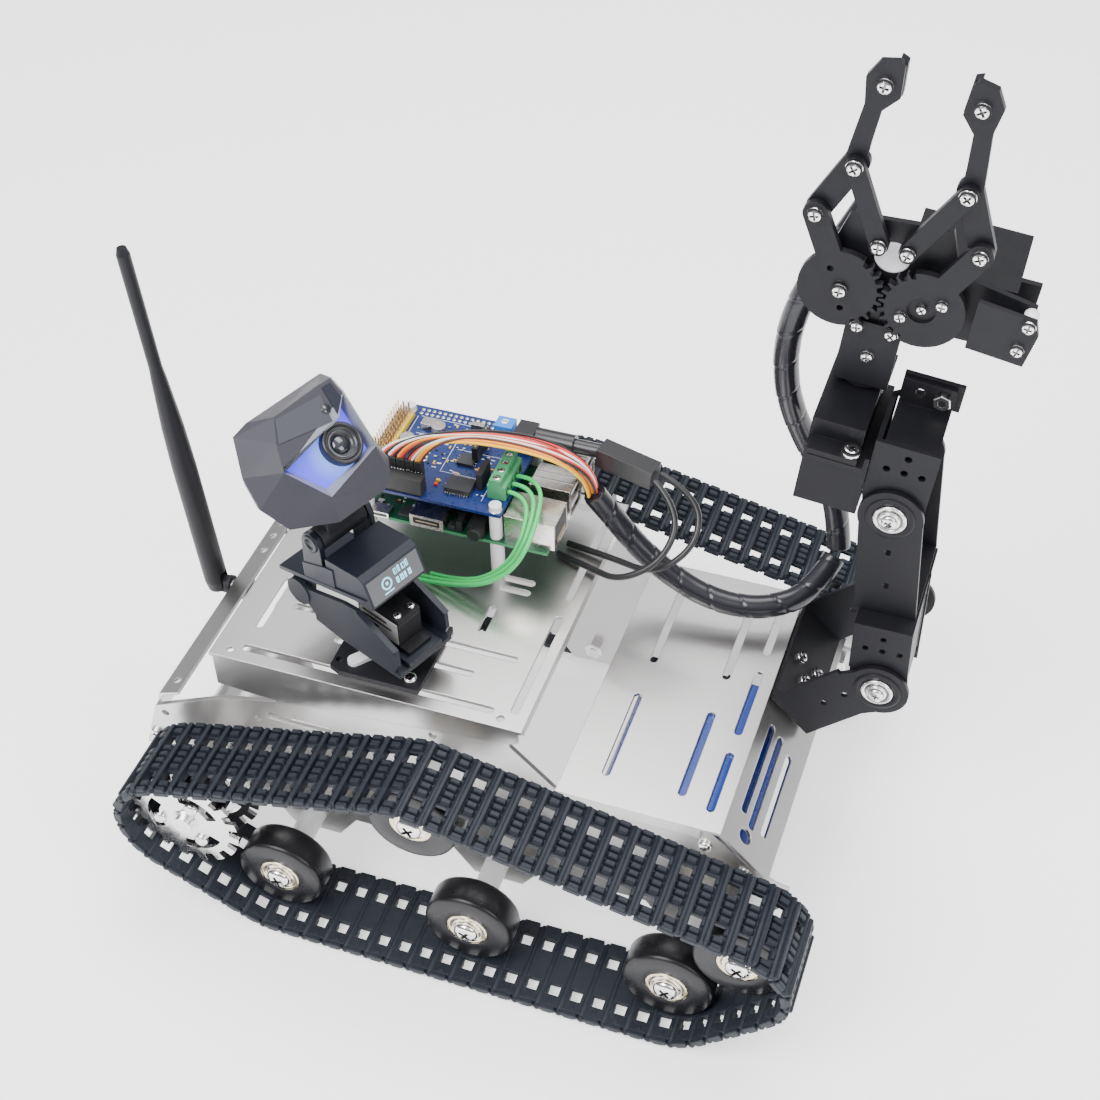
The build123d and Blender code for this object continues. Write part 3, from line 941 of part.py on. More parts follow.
def jaw(side, name):
    gx0 = gx + side * GEAR_HALF
    phase = 0.0 if side > 0 else math.pi / GTEETH
    kx, kz = gx0 + side * ARM_A[0], gw + ARM_A[1]
    with BuildPart() as j:
        xz_prism(gear_points(GTEETH, 13.3, 15.6, phase, frac=0.40, tipfrac=0.11, cx=gx0, cz=gw), 35.0, 38.0)
        cyl((gx0, 35.0, gw), (0, 1, 0), 13.3, 3.0)
        # smooth round edge away from the mesh
        a0 = math.radians(70)
        pts = [(gx0, gw)]
        for i in range(25):
            a = a0 + (2 * math.pi - 2 * a0) * i / 24
            a = a if side < 0 else math.pi - a
            pts.append((gx0 + 15.6 * math.cos(a), gw + 15.6 * math.sin(a)))
        xz_prism(pts, 35.0, 38.0)
        capsule((gx0, gw), (kx, kz), 4.6, 35.0, 38.0)
        if side > 0:
            cyl((gx0, 34.0, gw), (0, 1, 0), 5.2, 2.4, Mode.SUBTRACT)
            pan_head((gx0, 36.4, gw), (0, -1, 0), 2.2, 1.4)
            cyl((gx0, 38.0, gw), (0, 1, 0), 2.0, 0.8)
            for a in (35, 215):
                pan_head((gx0 + 8.0 * math.cos(math.radians(a)), 35.0, gw + 8.0 * math.sin(math.radians(a))), (0, -1, 0), 2.4, 1.4)
        else:
            cyl((gx0, 34.0, gw), (0, 1, 0), 2.06, 6, Mode.SUBTRACT)
            cyl((gx0 + 1.5, 34.0, gw - 8.0), (0, 1, 0), 1.2, 6, Mode.SUBTRACT)
            cyl((gx0 - 5.0, 34.0, gw + 7.5), (0, 1, 0), 1.2, 6, Mode.SUBTRACT)
        # knuckle pin through the finger
        cyl((kx, 38.0, kz), (0, 1, 0), 1.5, 5.0)
        pan_head((kx, 35.0, kz), (0, -1, 0), 2.9, 1.7)
    save(j, name, FORE)


jaw(1, "jaw_gear_front")
jaw(-1, "jaw_gear_rear")

for side, word in ((1, "front"), (-1, "rear")):
    lx, lz = gx + side * LINK_B[0], gw + LINK_B[1]
    fx, fz = lx + side * ARM_A[0], lz + ARM_A[1]
    with BuildPart() as il:
        capsule((lx, lz), (fx, fz), 3.4, 35.0, 38.0)
        cyl((lx, 34.0, lz), (0, 1, 0), 1.56, 6, Mode.SUBTRACT)
        cyl((fx, 34.0, fz), (0, 1, 0), 2.0, 6, Mode.SUBTRACT)
    save(il, "link_" + word, FORE)
    kx, kz = gx + side * (GEAR_HALF + ARM_A[0]), gw + ARM_A[1]
    with BuildPart() as fg:
        y0, y1 = 38.4, 41.4
        capsule((kx, kz), (fx, fz), 4.6, y0, y1)
        s = side
        xz_prism([(fx - s * 3.0, fz - 1), (fx + s * 4.6, fz - 1), (gx + s * 21.5, gw + 72.5), (gx + s * 23.0, gw + 82.0), (gx + s * 19.5, gw + 88.5), (gx + s * 13.0, gw + 90.0),
                  (gx + s * 11.2, gw + 88.0), (gx + s * 10.4, gw + 77.0), (gx + s * 15.4, gw + 71.0), (fx - s * 3.2, fz + 8)], y0, y1)
        # serrated pad across the tip
        xz_prism([(gx + s * 10.2, gw + 76.5), (gx + s * 12.8, gw + 74.5), (gx + s * 13.6, gw + 89.6), (gx + s * 10.9, gw + 88.4)], y1, y1 + 4.0)
        cyl((kx, 37.0, kz), (0, 1, 0), 1.56, 8, Mode.SUBTRACT)
        cyl((fx, 38.4, fz), (0, -1, 0), 1.4, 4.0)
        pan_head((fx, 34.6, fz), (0, -1, 0), 3.0, 1.7)
        pan_head((gx + s * 16.2, 38.4, gw + 80.4), (0, -1, 0), 3.0, 1.8)
    save(fg, "finger_" + word, FORE)

print("done")
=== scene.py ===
import bpy, bmesh, math, random
from mathutils import Vector, Matrix


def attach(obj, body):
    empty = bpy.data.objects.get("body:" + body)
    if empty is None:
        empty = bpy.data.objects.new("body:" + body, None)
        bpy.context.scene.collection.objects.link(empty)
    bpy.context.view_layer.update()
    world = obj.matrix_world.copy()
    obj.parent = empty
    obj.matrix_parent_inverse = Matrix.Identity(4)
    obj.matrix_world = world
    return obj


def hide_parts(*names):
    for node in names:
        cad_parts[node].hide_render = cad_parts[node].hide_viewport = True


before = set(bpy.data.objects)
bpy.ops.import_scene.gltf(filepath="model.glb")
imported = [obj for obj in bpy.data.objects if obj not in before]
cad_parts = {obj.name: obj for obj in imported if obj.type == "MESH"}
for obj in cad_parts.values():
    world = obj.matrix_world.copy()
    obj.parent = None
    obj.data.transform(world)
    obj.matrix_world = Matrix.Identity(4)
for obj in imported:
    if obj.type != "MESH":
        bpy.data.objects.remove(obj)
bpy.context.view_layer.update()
SX, SY = 4.66, 0.0
random.seed(7)


def W(p):
    return Vector(((p[0] + SX) / 1000.0, (p[1] + SY) / 1000.0, p[2] / 1000.0))


# ------------------------------------------------------------------ camera
cam_d = bpy.data.cameras.new("camera")
cam = bpy.data.objects.new("camera", cam_d)
bpy.context.scene.collection.objects.link(cam)
R = ((0.9429477, 0.3323269, -0.0202111), (0.2169684, -0.6594043, -0.719799), (-0.2525359, 0.6743477, -0.6938882))
m = Matrix.Identity(4)
for i in range(3):
    m[i][0], m[i][1], m[i][2] = R[0][i], -R[1][i], -R[2][i]
c = W((189.86, -500.0, 663.59))
m[0][3], m[1][3], m[2][3] = c
cam.matrix_world = m
cam_d.sensor_width = 36.0
cam_d.lens = 59.9693
cam_d.clip_start, cam_d.clip_end = 0.02, 20
bpy.context.scene.camera = cam

# ------------------------------------------------------------------ materials
MATS = {}


def sock(node, name, val):
    if name in node.inputs:
        node.inputs[name].default_value = val


def mat(name, col, metallic=0.0, rough=0.5, bevel=0.25, noise=None, bump=None, coat=0.0, emit=None, vary=0.0, streak=None, spec=None, alpha=None):
    # noise = (scale per metre, roughness swing); bump = (scale, strength, distance m); streak = (axis, scale, swing)
    if name in MATS:
        return MATS[name]
    mt = bpy.data.materials.new(name)
    mt.use_nodes = True
    nt = mt.node_tree
    b = nt.nodes["Principled BSDF"]
    b.inputs["Base Color"].default_value = (col[0], col[1], col[2], 1)
    b.inputs["Metallic"].default_value = metallic
    b.inputs["Roughness"].default_value = rough
    if spec is not None:
        sock(b, "Specular IOR Level", spec)
    if coat:
        sock(b, "Coat Weight", coat)
        sock(b, "Coat Roughness", 0.12)
    if emit:
        sock(b, "Emission Color", (emit[0], emit[1], emit[2], 1))
        sock(b, "Emission Strength", emit[3])
    tc = nt.nodes.new("ShaderNodeTexCoord")
    last = None
    if bevel:
        bv = nt.nodes.new("ShaderNodeBevel")
        bv.samples = 4
        bv.inputs["Radius"].default_value = bevel / 1000.0
        last = bv.outputs["Normal"]
    if bump:
        nz = nt.nodes.new("ShaderNodeTexNoise")
        nz.inputs["Scale"].default_value = bump[0]
        nz.inputs["Detail"].default_value = 3
        nt.links.new(tc.outputs["Object"], nz.inputs["Vector"])
        bp = nt.nodes.new("ShaderNodeBump")
        bp.inputs["Strength"].default_value = bump[1]
        bp.inputs["Distance"].default_value = bump[2]
        nt.links.new(nz.outputs["Fac"], bp.inputs["Height"])
        if last:
            nt.links.new(last, bp.inputs["Normal"])
        last = bp.outputs["Normal"]
    if last:
        nt.links.new(last, b.inputs["Normal"])
    src = None
    if streak:
        mp = nt.nodes.new("ShaderNodeMapping")
        sc = [streak[1]] * 3
        sc[streak[0]] = streak[1] * 0.02
        mp.inputs["Scale"].default_value = sc
        nt.links.new(tc.outputs["Object"], mp.inputs["Vector"])
        nz = nt.nodes.new("ShaderNodeTexNoise")
        nz.inputs["Scale"].default_value = 1.0
        nz.inputs["Detail"].default_value = 4
        nt.links.new(mp.outputs["Vector"], nz.inputs["Vector"])
        src, swing = nz.outputs["Fac"], streak[2]
    elif noise:
        nz = nt.nodes.new("ShaderNodeTexNoise")
        nz.inputs["Scale"].default_value = noise[0]
        nz.inputs["Detail"].default_value = 5
        nt.links.new(tc.outputs["Object"], nz.inputs["Vector"])
        src, swing = nz.outputs["Fac"], noise[1]
    if src:
        mr = nt.nodes.new("ShaderNodeMapRange")
        mr.inputs["From Min"].default_value = 0.3
        mr.inputs["From Max"].default_value = 0.7
        mr.inputs["To Min"].default_value = max(0.02, rough - swing)
        mr.inputs["To Max"].default_value = min(1, rough + swing)
        nt.links.new(src, mr.inputs["Value"])
        nt.links.new(mr.outputs["Result"], b.inputs["Roughness"])
        if vary:
            cr = nt.nodes.new("ShaderNodeMix")
            cr.data_type = "RGBA"
            lo = [max(0, x * (1 - vary)) for x in col]
            hi = [min(1, x * (1 + vary)) for x in col]
            cr.inputs["A"].default_value = (lo[0], lo[1], lo[2], 1)
            cr.inputs["B"].default_value = (hi[0], hi[1], hi[2], 1)
            nt.links.new(src, cr.inputs["Factor"])
            nt.links.new(cr.outputs["Result"], b.inputs["Base Color"])
    MATS[name] = mt
    return mt


steel = mat("brushed_steel_plate", (0.60, 0.585, 0.575), 1.0, 0.31, bevel=0.5, streak=(0, 2600, 0.018), vary=0.012)
steel_fine = mat("steel_bright", (0.80, 0.79, 0.78), 1.0, 0.20, bevel=0.15, noise=(300, 0.05))
# dark steel for some parts and marks; in screw recesses, grooves, steps and slots it is painted shade
dark_steel_and_shade = mat("dark_steel_and_recess_shade", (0.22, 0.21, 0.2), 1.0, 0.35, bevel=0)
chrome = mat("screw_chrome", (0.86, 0.85, 0.84), 1.0, 0.14, bevel=0.12, noise=(900, 0.05))
gold = mat("bearing_gold", (0.80, 0.70, 0.50), 1.0, 0.2, bevel=0.12, noise=(500, 0.05))
tin = mat("tinned_shell", (0.6, 0.58, 0.54), 1.0, 0.26, bevel=0.3, noise=(160, 0.06), vary=0.05)
rubber = mat("track_top", (0.014, 0.017, 0.025), 0.0, 0.5, bevel=0.3, noise=(260, 0.09), bump=(900, 0.25, 0.0002), vary=0.18, spec=0.28)
wheel_m = mat("wheel_black", (0.008, 0.008, 0.010), 0.0, 0.3, bevel=0.9, noise=(120, 0.05), bump=(1500, 0.08, 0.0001), spec=0.35)
blk = mat("powder_black", (0.008, 0.008, 0.0105), 0.0, 0.46, bevel=0.35, noise=(200, 0.05), bump=(2500, 0.12, 0.00006), vary=0.1, spec=0.25)
plast = mat("servo_black", (0.008, 0.008, 0.01), 0.0, 0.42, bevel=0.4, noise=(150, 0.06), bump=(2600, 0.15, 0.00005), spec=0.25)
plast_m = mat("plastic_matte", (0.011, 0.011, 0.014), 0.0, 0.55, bevel=0.3, bump=(2200, 0.2, 0.00006), spec=0.25)
head_m = mat("head_grey", (0.036, 0.035, 0.046), 0.0, 0.42, bevel=0.5, noise=(90, 0.04), bump=(3000, 0.08, 0.00005), spec=0.3)
head_d = mat("head_dark", (0.02, 0.022, 0.03), 0.0, 0.45, bevel=0.4)
bracket_m = mat("bracket_slate", (0.013, 0.015, 0.022), 0.0, 0.42, bevel=0.4, bump=(2200, 0.1, 0.00005), spec=0.3)
display_m = mat("display_gloss", (0.010, 0.012, 0.02), 0.0, 0.34, bevel=0.5, bump=(2600, 0.1, 0.00005), spec=0.3)
nylon = mat("nylon_white", (0.83, 0.84, 0.83), 0.0, 0.38, bevel=0.2)
batt = mat("battery_film", (0.008, 0.035, 0.24), 0.0, 0.28, bevel=0.4, coat=0.4, noise=(60, 0.06))
pcb_g = mat("pcb_green", (0.006, 0.075, 0.035), 0.0, 0.35, bevel=0.1, noise=(700, 0.08), vary=0.35)
pcb_b = mat("pcb_blue", (0.006, 0.025, 0.14), 0.0, 0.33, bevel=0.1, noise=(700, 0.08), vary=0.35)
pcb_e = mat("pcb_edge_green", (0.06, 0.28, 0.12), 0.0, 0.5, bevel=0)
silk = mat("silkscreen", (0.8, 0.82, 0.85), 0.0, 0.6, bevel=0)
padm = mat("pad_tinned", (0.8, 0.78, 0.7), 1.0, 0.3, bevel=0)
goldpin = mat("pin_gold", (0.68, 0.55, 0.36), 1.0, 0.3, bevel=0)
brown = mat("header_brown", (0.24, 0.075, 0.03), 0.0, 0.45, bevel=0.15)
yellow = mat("header_yellow", (0.86, 0.62, 0.02), 0.0, 0.45, bevel=0.15)
hblack = mat("header_black", (0.02, 0.02, 0.02), 0.0, 0.45, bevel=0.15)
chip = mat("chip_black", (0.03, 0.032, 0.036), 0.0, 0.5, bevel=0.1, noise=(500, 0.05))
term_g = mat("terminal_green", (0.06, 0.30, 0.13), 0.0, 0.42, bevel=0.25)
blue_tr = mat("trimmer_blue", (0.03, 0.22, 0.75), 0.0, 0.4, bevel=0.2)
red_m = mat("part_red", (0.75, 0.06, 0.03), 0.0, 0.4, bevel=0.1)
amber = mat("part_amber", (0.8, 0.45, 0.08), 0.0, 0.4, bevel=0.1)
w_or = mat("wire_orange", (0.95, 0.30, 0.015), 0.0, 0.38, bevel=0)
w_re = mat("wire_red", (0.75, 0.035, 0.02), 0.0, 0.38, bevel=0)
w_br = mat("wire_brown", (0.11, 0.028, 0.015), 0.0, 0.38, bevel=0)
w_wh = mat("wire_white", (0.85, 0.83, 0.80), 0.0, 0.38, bevel=0)
w_bk = mat("wire_black", (0.015, 0.015, 0.017), 0.0, 0.35, bevel=0)
w_ye = mat("wire_yellow", (0.95, 0.55, 0.02), 0.0, 0.38, bevel=0)
w_gr = mat("wire_green", (0.03, 0.55, 0.13), 0.0, 0.38, bevel=0)
wrap = mat("spiral_wrap", (0.014, 0.014, 0.019), 0.0, 0.24, bevel=0, noise=(90, 0.05))
silver_lab = mat("label_silver", (0.70, 0.69, 0.68), 0.6, 0.35, bevel=0, noise=(400, 0.08))
oled = mat("oled_marks", (0.1, 0.4, 0.6), 0.0, 0.4, bevel=0, emit=(0.35, 0.85, 1.0, 1.6))
glass = mat("lens_glass", (0.01, 0.012, 0.02), 0.0, 0.06, bevel=0, coat=1.0)
lens_ring = mat("lens_ring", (0.02, 0.02, 0.024), 0.0, 0.3, bevel=0.1)
white_hole = mat("pale_plastic", (0.82, 0.82, 0.86), 0.0, 0.4, bevel=0.1)


def painted_glow_panel_material():
    # painted glow: a violet-blue emission, paler in the middle, set by the distance from the lens
    mt = bpy.data.materials.new("face_panel_painted_glow")
    mt.use_nodes = True
    nt = mt.node_tree
    b = nt.nodes["Principled BSDF"]
    b.inputs["Base Color"].default_value = (0.03, 0.02, 0.35, 1)
    b.inputs["Roughness"].default_value = 0.35
    tc = nt.nodes.new("ShaderNodeTexCoord")
    vd = nt.nodes.new("ShaderNodeVectorMath")
    vd.operation = "DISTANCE"
    vd.inputs[1].default_value = GLOW
    nt.links.new(tc.outputs["Object"], vd.inputs[0])
    cr = nt.nodes.new("ShaderNodeValToRGB")
    cr.color_ramp.elements[0].position = 0.0
    cr.color_ramp.elements[0].color = (0.32, 0.62, 1.0, 1)
    cr.color_ramp.elements[1].position = 1.0
    cr.color_ramp.elements[1].color = (0.05, 0.02, 0.80, 1)
    e = cr.color_ramp.elements.new(0.45)
    e.color = (0.09, 0.13, 0.95, 1)
    mr = nt.nodes.new("ShaderNodeMapRange")
    mr.inputs["From Min"].default_value = 0.001
    mr.inputs["From Max"].default_value = 0.022
    nt.links.new(vd.outputs["Value"], mr.inputs["Value"])
    nt.links.new(mr.outputs["Result"], cr.inputs["Fac"])
    nt.links.new(cr.outputs["Color"], b.inputs["Emission Color"])
    b.inputs["Emission Strength"].default_value = 1.5
    return mt


# ------------------------------------------------------------------ mesh helpers, build millimetres
class Part:
    def __init__(self):
        self.v, self.f, self.mi, self.sm, self.mats = [], [], [], [], []
        self.T = Matrix.Identity(4)

    def idx(self, mt):
        if mt not in self.mats:
            self.mats.append(mt)
        return self.mats.index(mt)

    def add(self, verts, faces, mt, smooth=False):
        k = len(self.v)
        for p in verts:
            self.v.append(self.T @ Vector(p))
        i = self.idx(mt)
        for n, f in enumerate(faces):
            self.f.append(tuple(k + a for a in f))
            self.mi.append(i)
            self.sm.append(smooth[n] if isinstance(smooth, list) else smooth)

    def box(self, x0, x1, y0, y1, z0, z1, mt, b=0.25, taper=0.0):
        cx, cy, cz = (x0 + x1) / 2, (y0 + y1) / 2, (z0 + z1) / 2
        a, d, h = abs(x1 - x0) / 2, abs(y1 - y0) / 2, abs(z1 - z0) / 2
        b = min(b, a * 0.45, d * 0.45, h * 0.45)
        vs, key = [], {}
        for sx in (-1, 1):
            for sy in (-1, 1):
                for sz in (-1, 1):
                    t = 1 - (taper if sz > 0 else 0)
                    for ax in range(3):
                        p = [sx * (a - b) * t, sy * (d - b) * t, sz * (h - b)]
                        if ax == 0: p[0] = sx * a * t
                        if ax == 1: p[1] = sy * d * t
                        if ax == 2: p[2] = sz * h
                        key[(sx, sy, sz, ax)] = len(vs)
                        vs.append((cx + p[0], cy + p[1], cz + p[2]))
        fs = []
        for ax in range(3):
            for s in (-1, 1):
                o = [k for k in range(3) if k != ax]
                q = []
                for u, v in ((-1, -1), (1, -1), (1, 1), (-1, 1)):
                    sg = [0, 0, 0]
                    sg[ax], sg[o[0]], sg[o[1]] = s, u, v
                    q.append(key[(sg[0], sg[1], sg[2], ax)])
                if (s > 0) == (ax == 1):
                    q.reverse()
                fs.append(tuple(q))
        for ax in range(3):
            o = [k for k in range(3) if k != ax]
            for u in (-1, 1):
                for v in (-1, 1):
                    lo, hi = [0, 0, 0], [0, 0, 0]
                    lo[ax], hi[ax] = -1, 1
                    lo[o[0]] = hi[o[0]] = u
                    lo[o[1]] = hi[o[1]] = v
                    fs.append((key[(*lo, o[0])], key[(*hi, o[0])], key[(*hi, o[1])], key[(*lo, o[1])]))
        for sx in (-1, 1):
            for sy in (-1, 1):
                for sz in (-1, 1):
                    fs.append(tuple(key[(sx, sy, sz, ax)] for ax in range(3)))
        self.add(vs, fs, mt)

    def lathe(self, p, d, prof, mt, n=40, smooth=True):
        # prof: list of (r, h); each may carry a material as third
        d = Vector(d).normalized()
        u = d.orthogonal().normalized()
        w = d.cross(u)
        p = Vector(p)
        for (r0, h0, *e), (r1, h1, *_) in zip(prof, prof[1:]):
            vs = []
            for k in range(n):
                a = 2 * math.pi * k / n
                q = u * math.cos(a) + w * math.sin(a)
                vs.append(p + d * h0 + q * r0)
                vs.append(p + d * h1 + q * r1)
            fs = [(2 * k, 2 * ((k + 1) % n), 2 * ((k + 1) % n) + 1, 2 * k + 1) for k in range(n)]
            self.add(vs, fs, e[0] if e else mt, smooth)

    def cyl(self, p, d, r, h, mt, n=32, b=0.2):
        b = min(b, r * 0.4, h * 0.4)
        self.lathe(p, d, [(0.0001, 0), (r - b, 0), (r, b), (r, h - b), (r - b, h), (0.0001, h)], mt, n)

    def prism(self, pts, y0, y1, mt, b=0.25, plane="xz"):
        # polygon in x,z run along y (or x,y along z)
        n = len(pts)
        area = sum(pts[i][0] * pts[(i + 1) % n][1] - pts[(i + 1) % n][0] * pts[i][1] for i in range(n))
        if area < 0:
            pts = pts[::-1]
        ins = []
        for i in range(n):
            a, c, e = Vector(pts[i - 1]), Vector(pts[i]), Vector(pts[(i + 1) % n])
            d1, d2 = (c - a), (e - c)
            if d1.length < 1e-6 or d2.length < 1e-6:
                ins.append(c)
                continue
            d1.normalize()
            d2.normalize()
            n1, n2 = Vector((-d1.y, d1.x)), Vector((-d2.y, d2.x))
            k = n1 + n2
            if k.length < 0.3:
                ins.append(c + n1 * b)
            else:
                k.normalize()
                ins.append(c + k * (b / max(0.5, k.dot(n1))))
        put = (lambda p, h: (p[0], h, p[1])) if plane == "xz" else (lambda p, h: (p[0], p[1], h))
        vs = [put(p, y0) for p in ins] + [put(p, y0 + b) for p in pts] + [put(p, y1 - b) for p in pts] + [put(p, y1) for p in ins]
        fs = [tuple(range(n - 1, -1, -1)), tuple(range(3 * n, 4 * n))]
        for L in range(3):
            for i in range(n):
                j = (i + 1) % n
                fs.append((L * n + i, L * n + j, (L + 1) * n + j, (L + 1) * n + i))
        self.add(vs, fs, mt)

    def emit(self, name, body, replaces=(), slot=None, weld=False):
        me = bpy.data.meshes.new(name)
        me.from_pydata([W(p) for p in self.v], [], self.f)
        for mt in self.mats:
            me.materials.append(mt)
        me.polygons.foreach_set("material_index", self.mi)
        me.polygons.foreach_set("use_smooth", self.sm)
        bm = bmesh.new()
        bm.from_mesh(me)
        bmesh.ops.remove_doubles(bm, verts=bm.verts, dist=2e-6)
        bmesh.ops.recalc_face_normals(bm, faces=bm.faces)
        bm.to_mesh(me)
        bm.free()
        me.update()
        ob = bpy.data.objects.new(name, me)
        bpy.context.scene.collection.objects.link(ob)
        if body:
            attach(ob, body)
        if replaces:
            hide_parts(*replaces)
        return ob


def rot(origin, ry=0.0, rz=0.0, rx=0.0):
    return Matrix.Translation(Vector(origin)) @ Matrix.Rotation(math.radians(rz), 4, "Z") @ Matrix.Rotation(math.radians(ry), 4, "Y") @ Matrix.Rotation(math.radians(rx), 4, "X")


def frame_on(origin, zdir, spin=0.0):
    z = Vector(zdir).normalized()
    x = z.orthogonal().normalized()
    y = z.cross(x)
    mm = Matrix((x, y, z)).transposed().to_4x4()
    return Matrix.Translation(Vector(origin)) @ mm @ Matrix.Rotation(spin, 4, "Z")


def screw(P, p, d, r, h=None, spin=None, mt=None):
    # domed pan head with a cross recess
    mt = mt or chrome
    h = h or 0.7 * r
    T0 = P.T.copy()
    P.T = T0 @ frame_on(p, d, random.uniform(0, 3.1) if spin is None else spin)
    n = 32
    rim = [(r * 0.97, -0.1), (r, h * 0.12), (r, h * 0.42), (r * 0.93, h * 0.68), (r * 0.8, h * 0.86), (r * 0.62, h * 0.97)]
    P.lathe((0, 0, 0), (0, 0, 1), rim, mt, n)
    # top: a disc with a cross cut out of it
    R0, a, L, dp = r * 0.62, r * 0.13, r * 0.52, h * 0.42
    z0, z1 = h * 0.97, h * 1.02
    cross = []
    for k in range(4):
        t = math.pi / 2 * k
        for (u, v) in ((L, -a), (L, a), (a, a)):
            cross.append((u * math.cos(t) - v * math.sin(t), u * math.sin(t) + v * math.cos(t)))
    ring = []
    for (x, y) in cross:
        t = math.atan2(y, x)
        ring.append((R0 * math.cos(t), R0 * math.sin(t)))
    m12 = len(cross)
    vs = [(x, y, z0) for x, y in ring] + [(x, y, z1) for x, y in cross] + [(x * 0.86, y * 0.86, z1 - dp) for x, y in cross]
    P.add(vs, [(i, (i + 1) % m12, m12 + (i + 1) % m12, m12 + i) for i in range(m12)], mt, False)
    # the walls and floor of the cross recess in dark steel: painted shade
    P.add(vs, [(m12 + i, m12 + (i + 1) % m12, 2 * m12 + (i + 1) % m12, 2 * m12 + i) for i in range(m12)] + [tuple(range(2 * m12, 3 * m12))], dark_steel_and_shade, False)
    P.T = T0


def hexnut(P, p, d, r, h, bore, mt=None):
    mt = mt or chrome
    T0 = P.T.copy()
    P.T = T0 @ frame_on(p, d)
    o = [(r * math.cos(math.pi / 3 * k), r * math.sin(math.pi / 3 * k)) for k in range(6)]
    c2 = [(bore * math.cos(math.pi / 3 * k), bore * math.sin(math.pi / 3 * k)) for k in range(6)]
    vs = [(x, y, 0) for x, y in o] + [(x, y, h * 0.9) for x, y in o] + [(x * 0.9, y * 0.9, h) for x, y in o] + [(x, y, h) for x, y in c2] + [(x, y, h * 0.3) for x, y in c2]
    fs = []
    for L in range(4):
        for k in range(6):
            fs.append((L * 6 + k, L * 6 + (k + 1) % 6, (L + 1) * 6 + (k + 1) % 6, (L + 1) * 6 + k))
    fs.append(tuple(range(24, 30)))
    P.add(vs, fs, mt)
    P.T = T0


def recolour(node, body, rule, name=None):
    # a copy of the CAD mesh with a material picked for each face from its centre and normal, build mm
    src = bpy.data.objects[node] if node in bpy.data.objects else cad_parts[node]
    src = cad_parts[node]
    me = src.data.copy()
    me.materials.clear()
    mats = []
    for p in me.polygons:
        c0 = p.center
        mt = rule(c0[0] * 1000 - SX, c0[1] * 1000 - SY, c0[2] * 1000, p.normal)
        if mt not in mats:
            mats.append(mt)
            me.materials.append(mt)
        p.material_index = mats.index(mt)
    ob = bpy.data.objects.new(name or (node + "_look"), me)
    bpy.context.scene.collection.objects.link(ob)
    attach(ob, body)
    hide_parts(node)
    return ob


def paint(node, mt):
    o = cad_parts[node]
    o.data.materials.clear()
    o.data.materials.append(mt)


# ------------------------------------------------------------------ cords
def nurbs(name, pts, r, mt, body, closed=False, res=12, radii=None):
    cu = bpy.data.curves.new(name, "CURVE")
    cu.dimensions = "3D"
    cu.bevel_depth = r / 1000.0
    cu.bevel_resolution = 4
    cu.use_fill_caps = True
    sp = cu.splines.new("NURBS")
    sp.points.add(len(pts) - 1)
    for q, p in zip(sp.points, pts):
        w = W(p)
        q.co = (w[0], w[1], w[2], 1)
    sp.order_u = 3
    sp.use_endpoint_u = True
    sp.resolution_u = res
    if mt:
        cu.materials.append(mt)
    ob = bpy.data.objects.new(name, cu)
    bpy.context.scene.collection.objects.link(ob)
    if body:
        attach(ob, body)
    return ob


def centreline(pts):
    # points read off the route's own NURBS spline, build mm
    o = nurbs("tmp_line", pts, 0, None, None, res=24)
    bpy.context.view_layer.update()
    dg = bpy.context.evaluated_depsgraph_get()
    me = bpy.data.meshes.new_from_object(o.evaluated_get(dg))
    out = [Vector((v.co.x * 1000 - SX, v.co.y * 1000 - SY, v.co.z * 1000)) for v in me.vertices]
    bpy.data.objects.remove(o)
    return out


def resample(line, step):
    out, acc = [line[0].copy()], 0.0
    for a, b in zip(line, line[1:]):
        L = (b - a).length
        while acc + L >= step and L > 1e-9:
            t = (step - acc) / L
            a = a + (b - a) * t
            out.append(a.copy())
            L = (b - a).length
            acc = 0.0
        acc += L
    if (out[-1] - line[-1]).length > step * 0.3:
        out.append(line[-1].copy())
    return out


def length(line):
    return sum((b - a).length for a, b in zip(line, line[1:]))


def wrapped(name, line, r, mt, pitch=13.0, n=40, start=0.0):
    # overlapping turns of a spiral wrap along a line
    P = Part()
    pts = resample(line, 0.7)
    t = (pts[1] - pts[0]).normalized()
    u = t.orthogonal().normalized()
    s = start
    rings = []
    for i, p in enumerate(pts):
        t2 = (pts[min(i + 1, len(pts) - 1)] - pts[max(i - 1, 0)]).normalized()
        u = (u - t2 * u.dot(t2)).normalized()
        w = t2.cross(u)
        if i:
            s += (p - pts[i - 1]).length
        ring = []
        for k in range(n):
            a = 2 * math.pi * k / n
            ph = (s / pitch - k / n) % 1.0
            lip = min(1.0, ph / 0.05) * (1.0 - 0.35 * ph)
            if ph > 0.93:
                lip -= 0.5 * (ph - 0.93) / 0.07
            rr = r * (0.90 + 0.10 * lip)
            ring.append(p + (u * math.cos(a) + w * math.sin(a)) * rr)
        rings.append(ring)
    vs = [v for ring in rings for v in ring]
    fs = []
    for i in range(len(rings) - 1):
        for k in range(n):
            fs.append((i * n + k, i * n + (k + 1) % n, (i + 1) * n + (k + 1) % n, (i + 1) * n + k))
    P.add(vs, fs, mt, True)
    # ends: a short lip and the dark inside
    for ring, tt in ((rings[0], -1), (rings[-1], 1)):
        c0 = sum(ring, Vector()) / n
        inner = [c0 + (q - c0) * 0.8 for q in ring]
        k0 = len(P.v)
        P.add(list(ring) + inner, [(k, (k + 1) % n, n + (k + 1) % n, n + k) for k in range(n)] + [tuple(range(n, 2 * n))], mt)
    return P, [list(W(p)) for p in pts]


DECK_Z = 116.85
PI_X, PI_Y, PI_Z, HAT_Z = -86.6, 7.8, 138.6, 153.9

cords = []
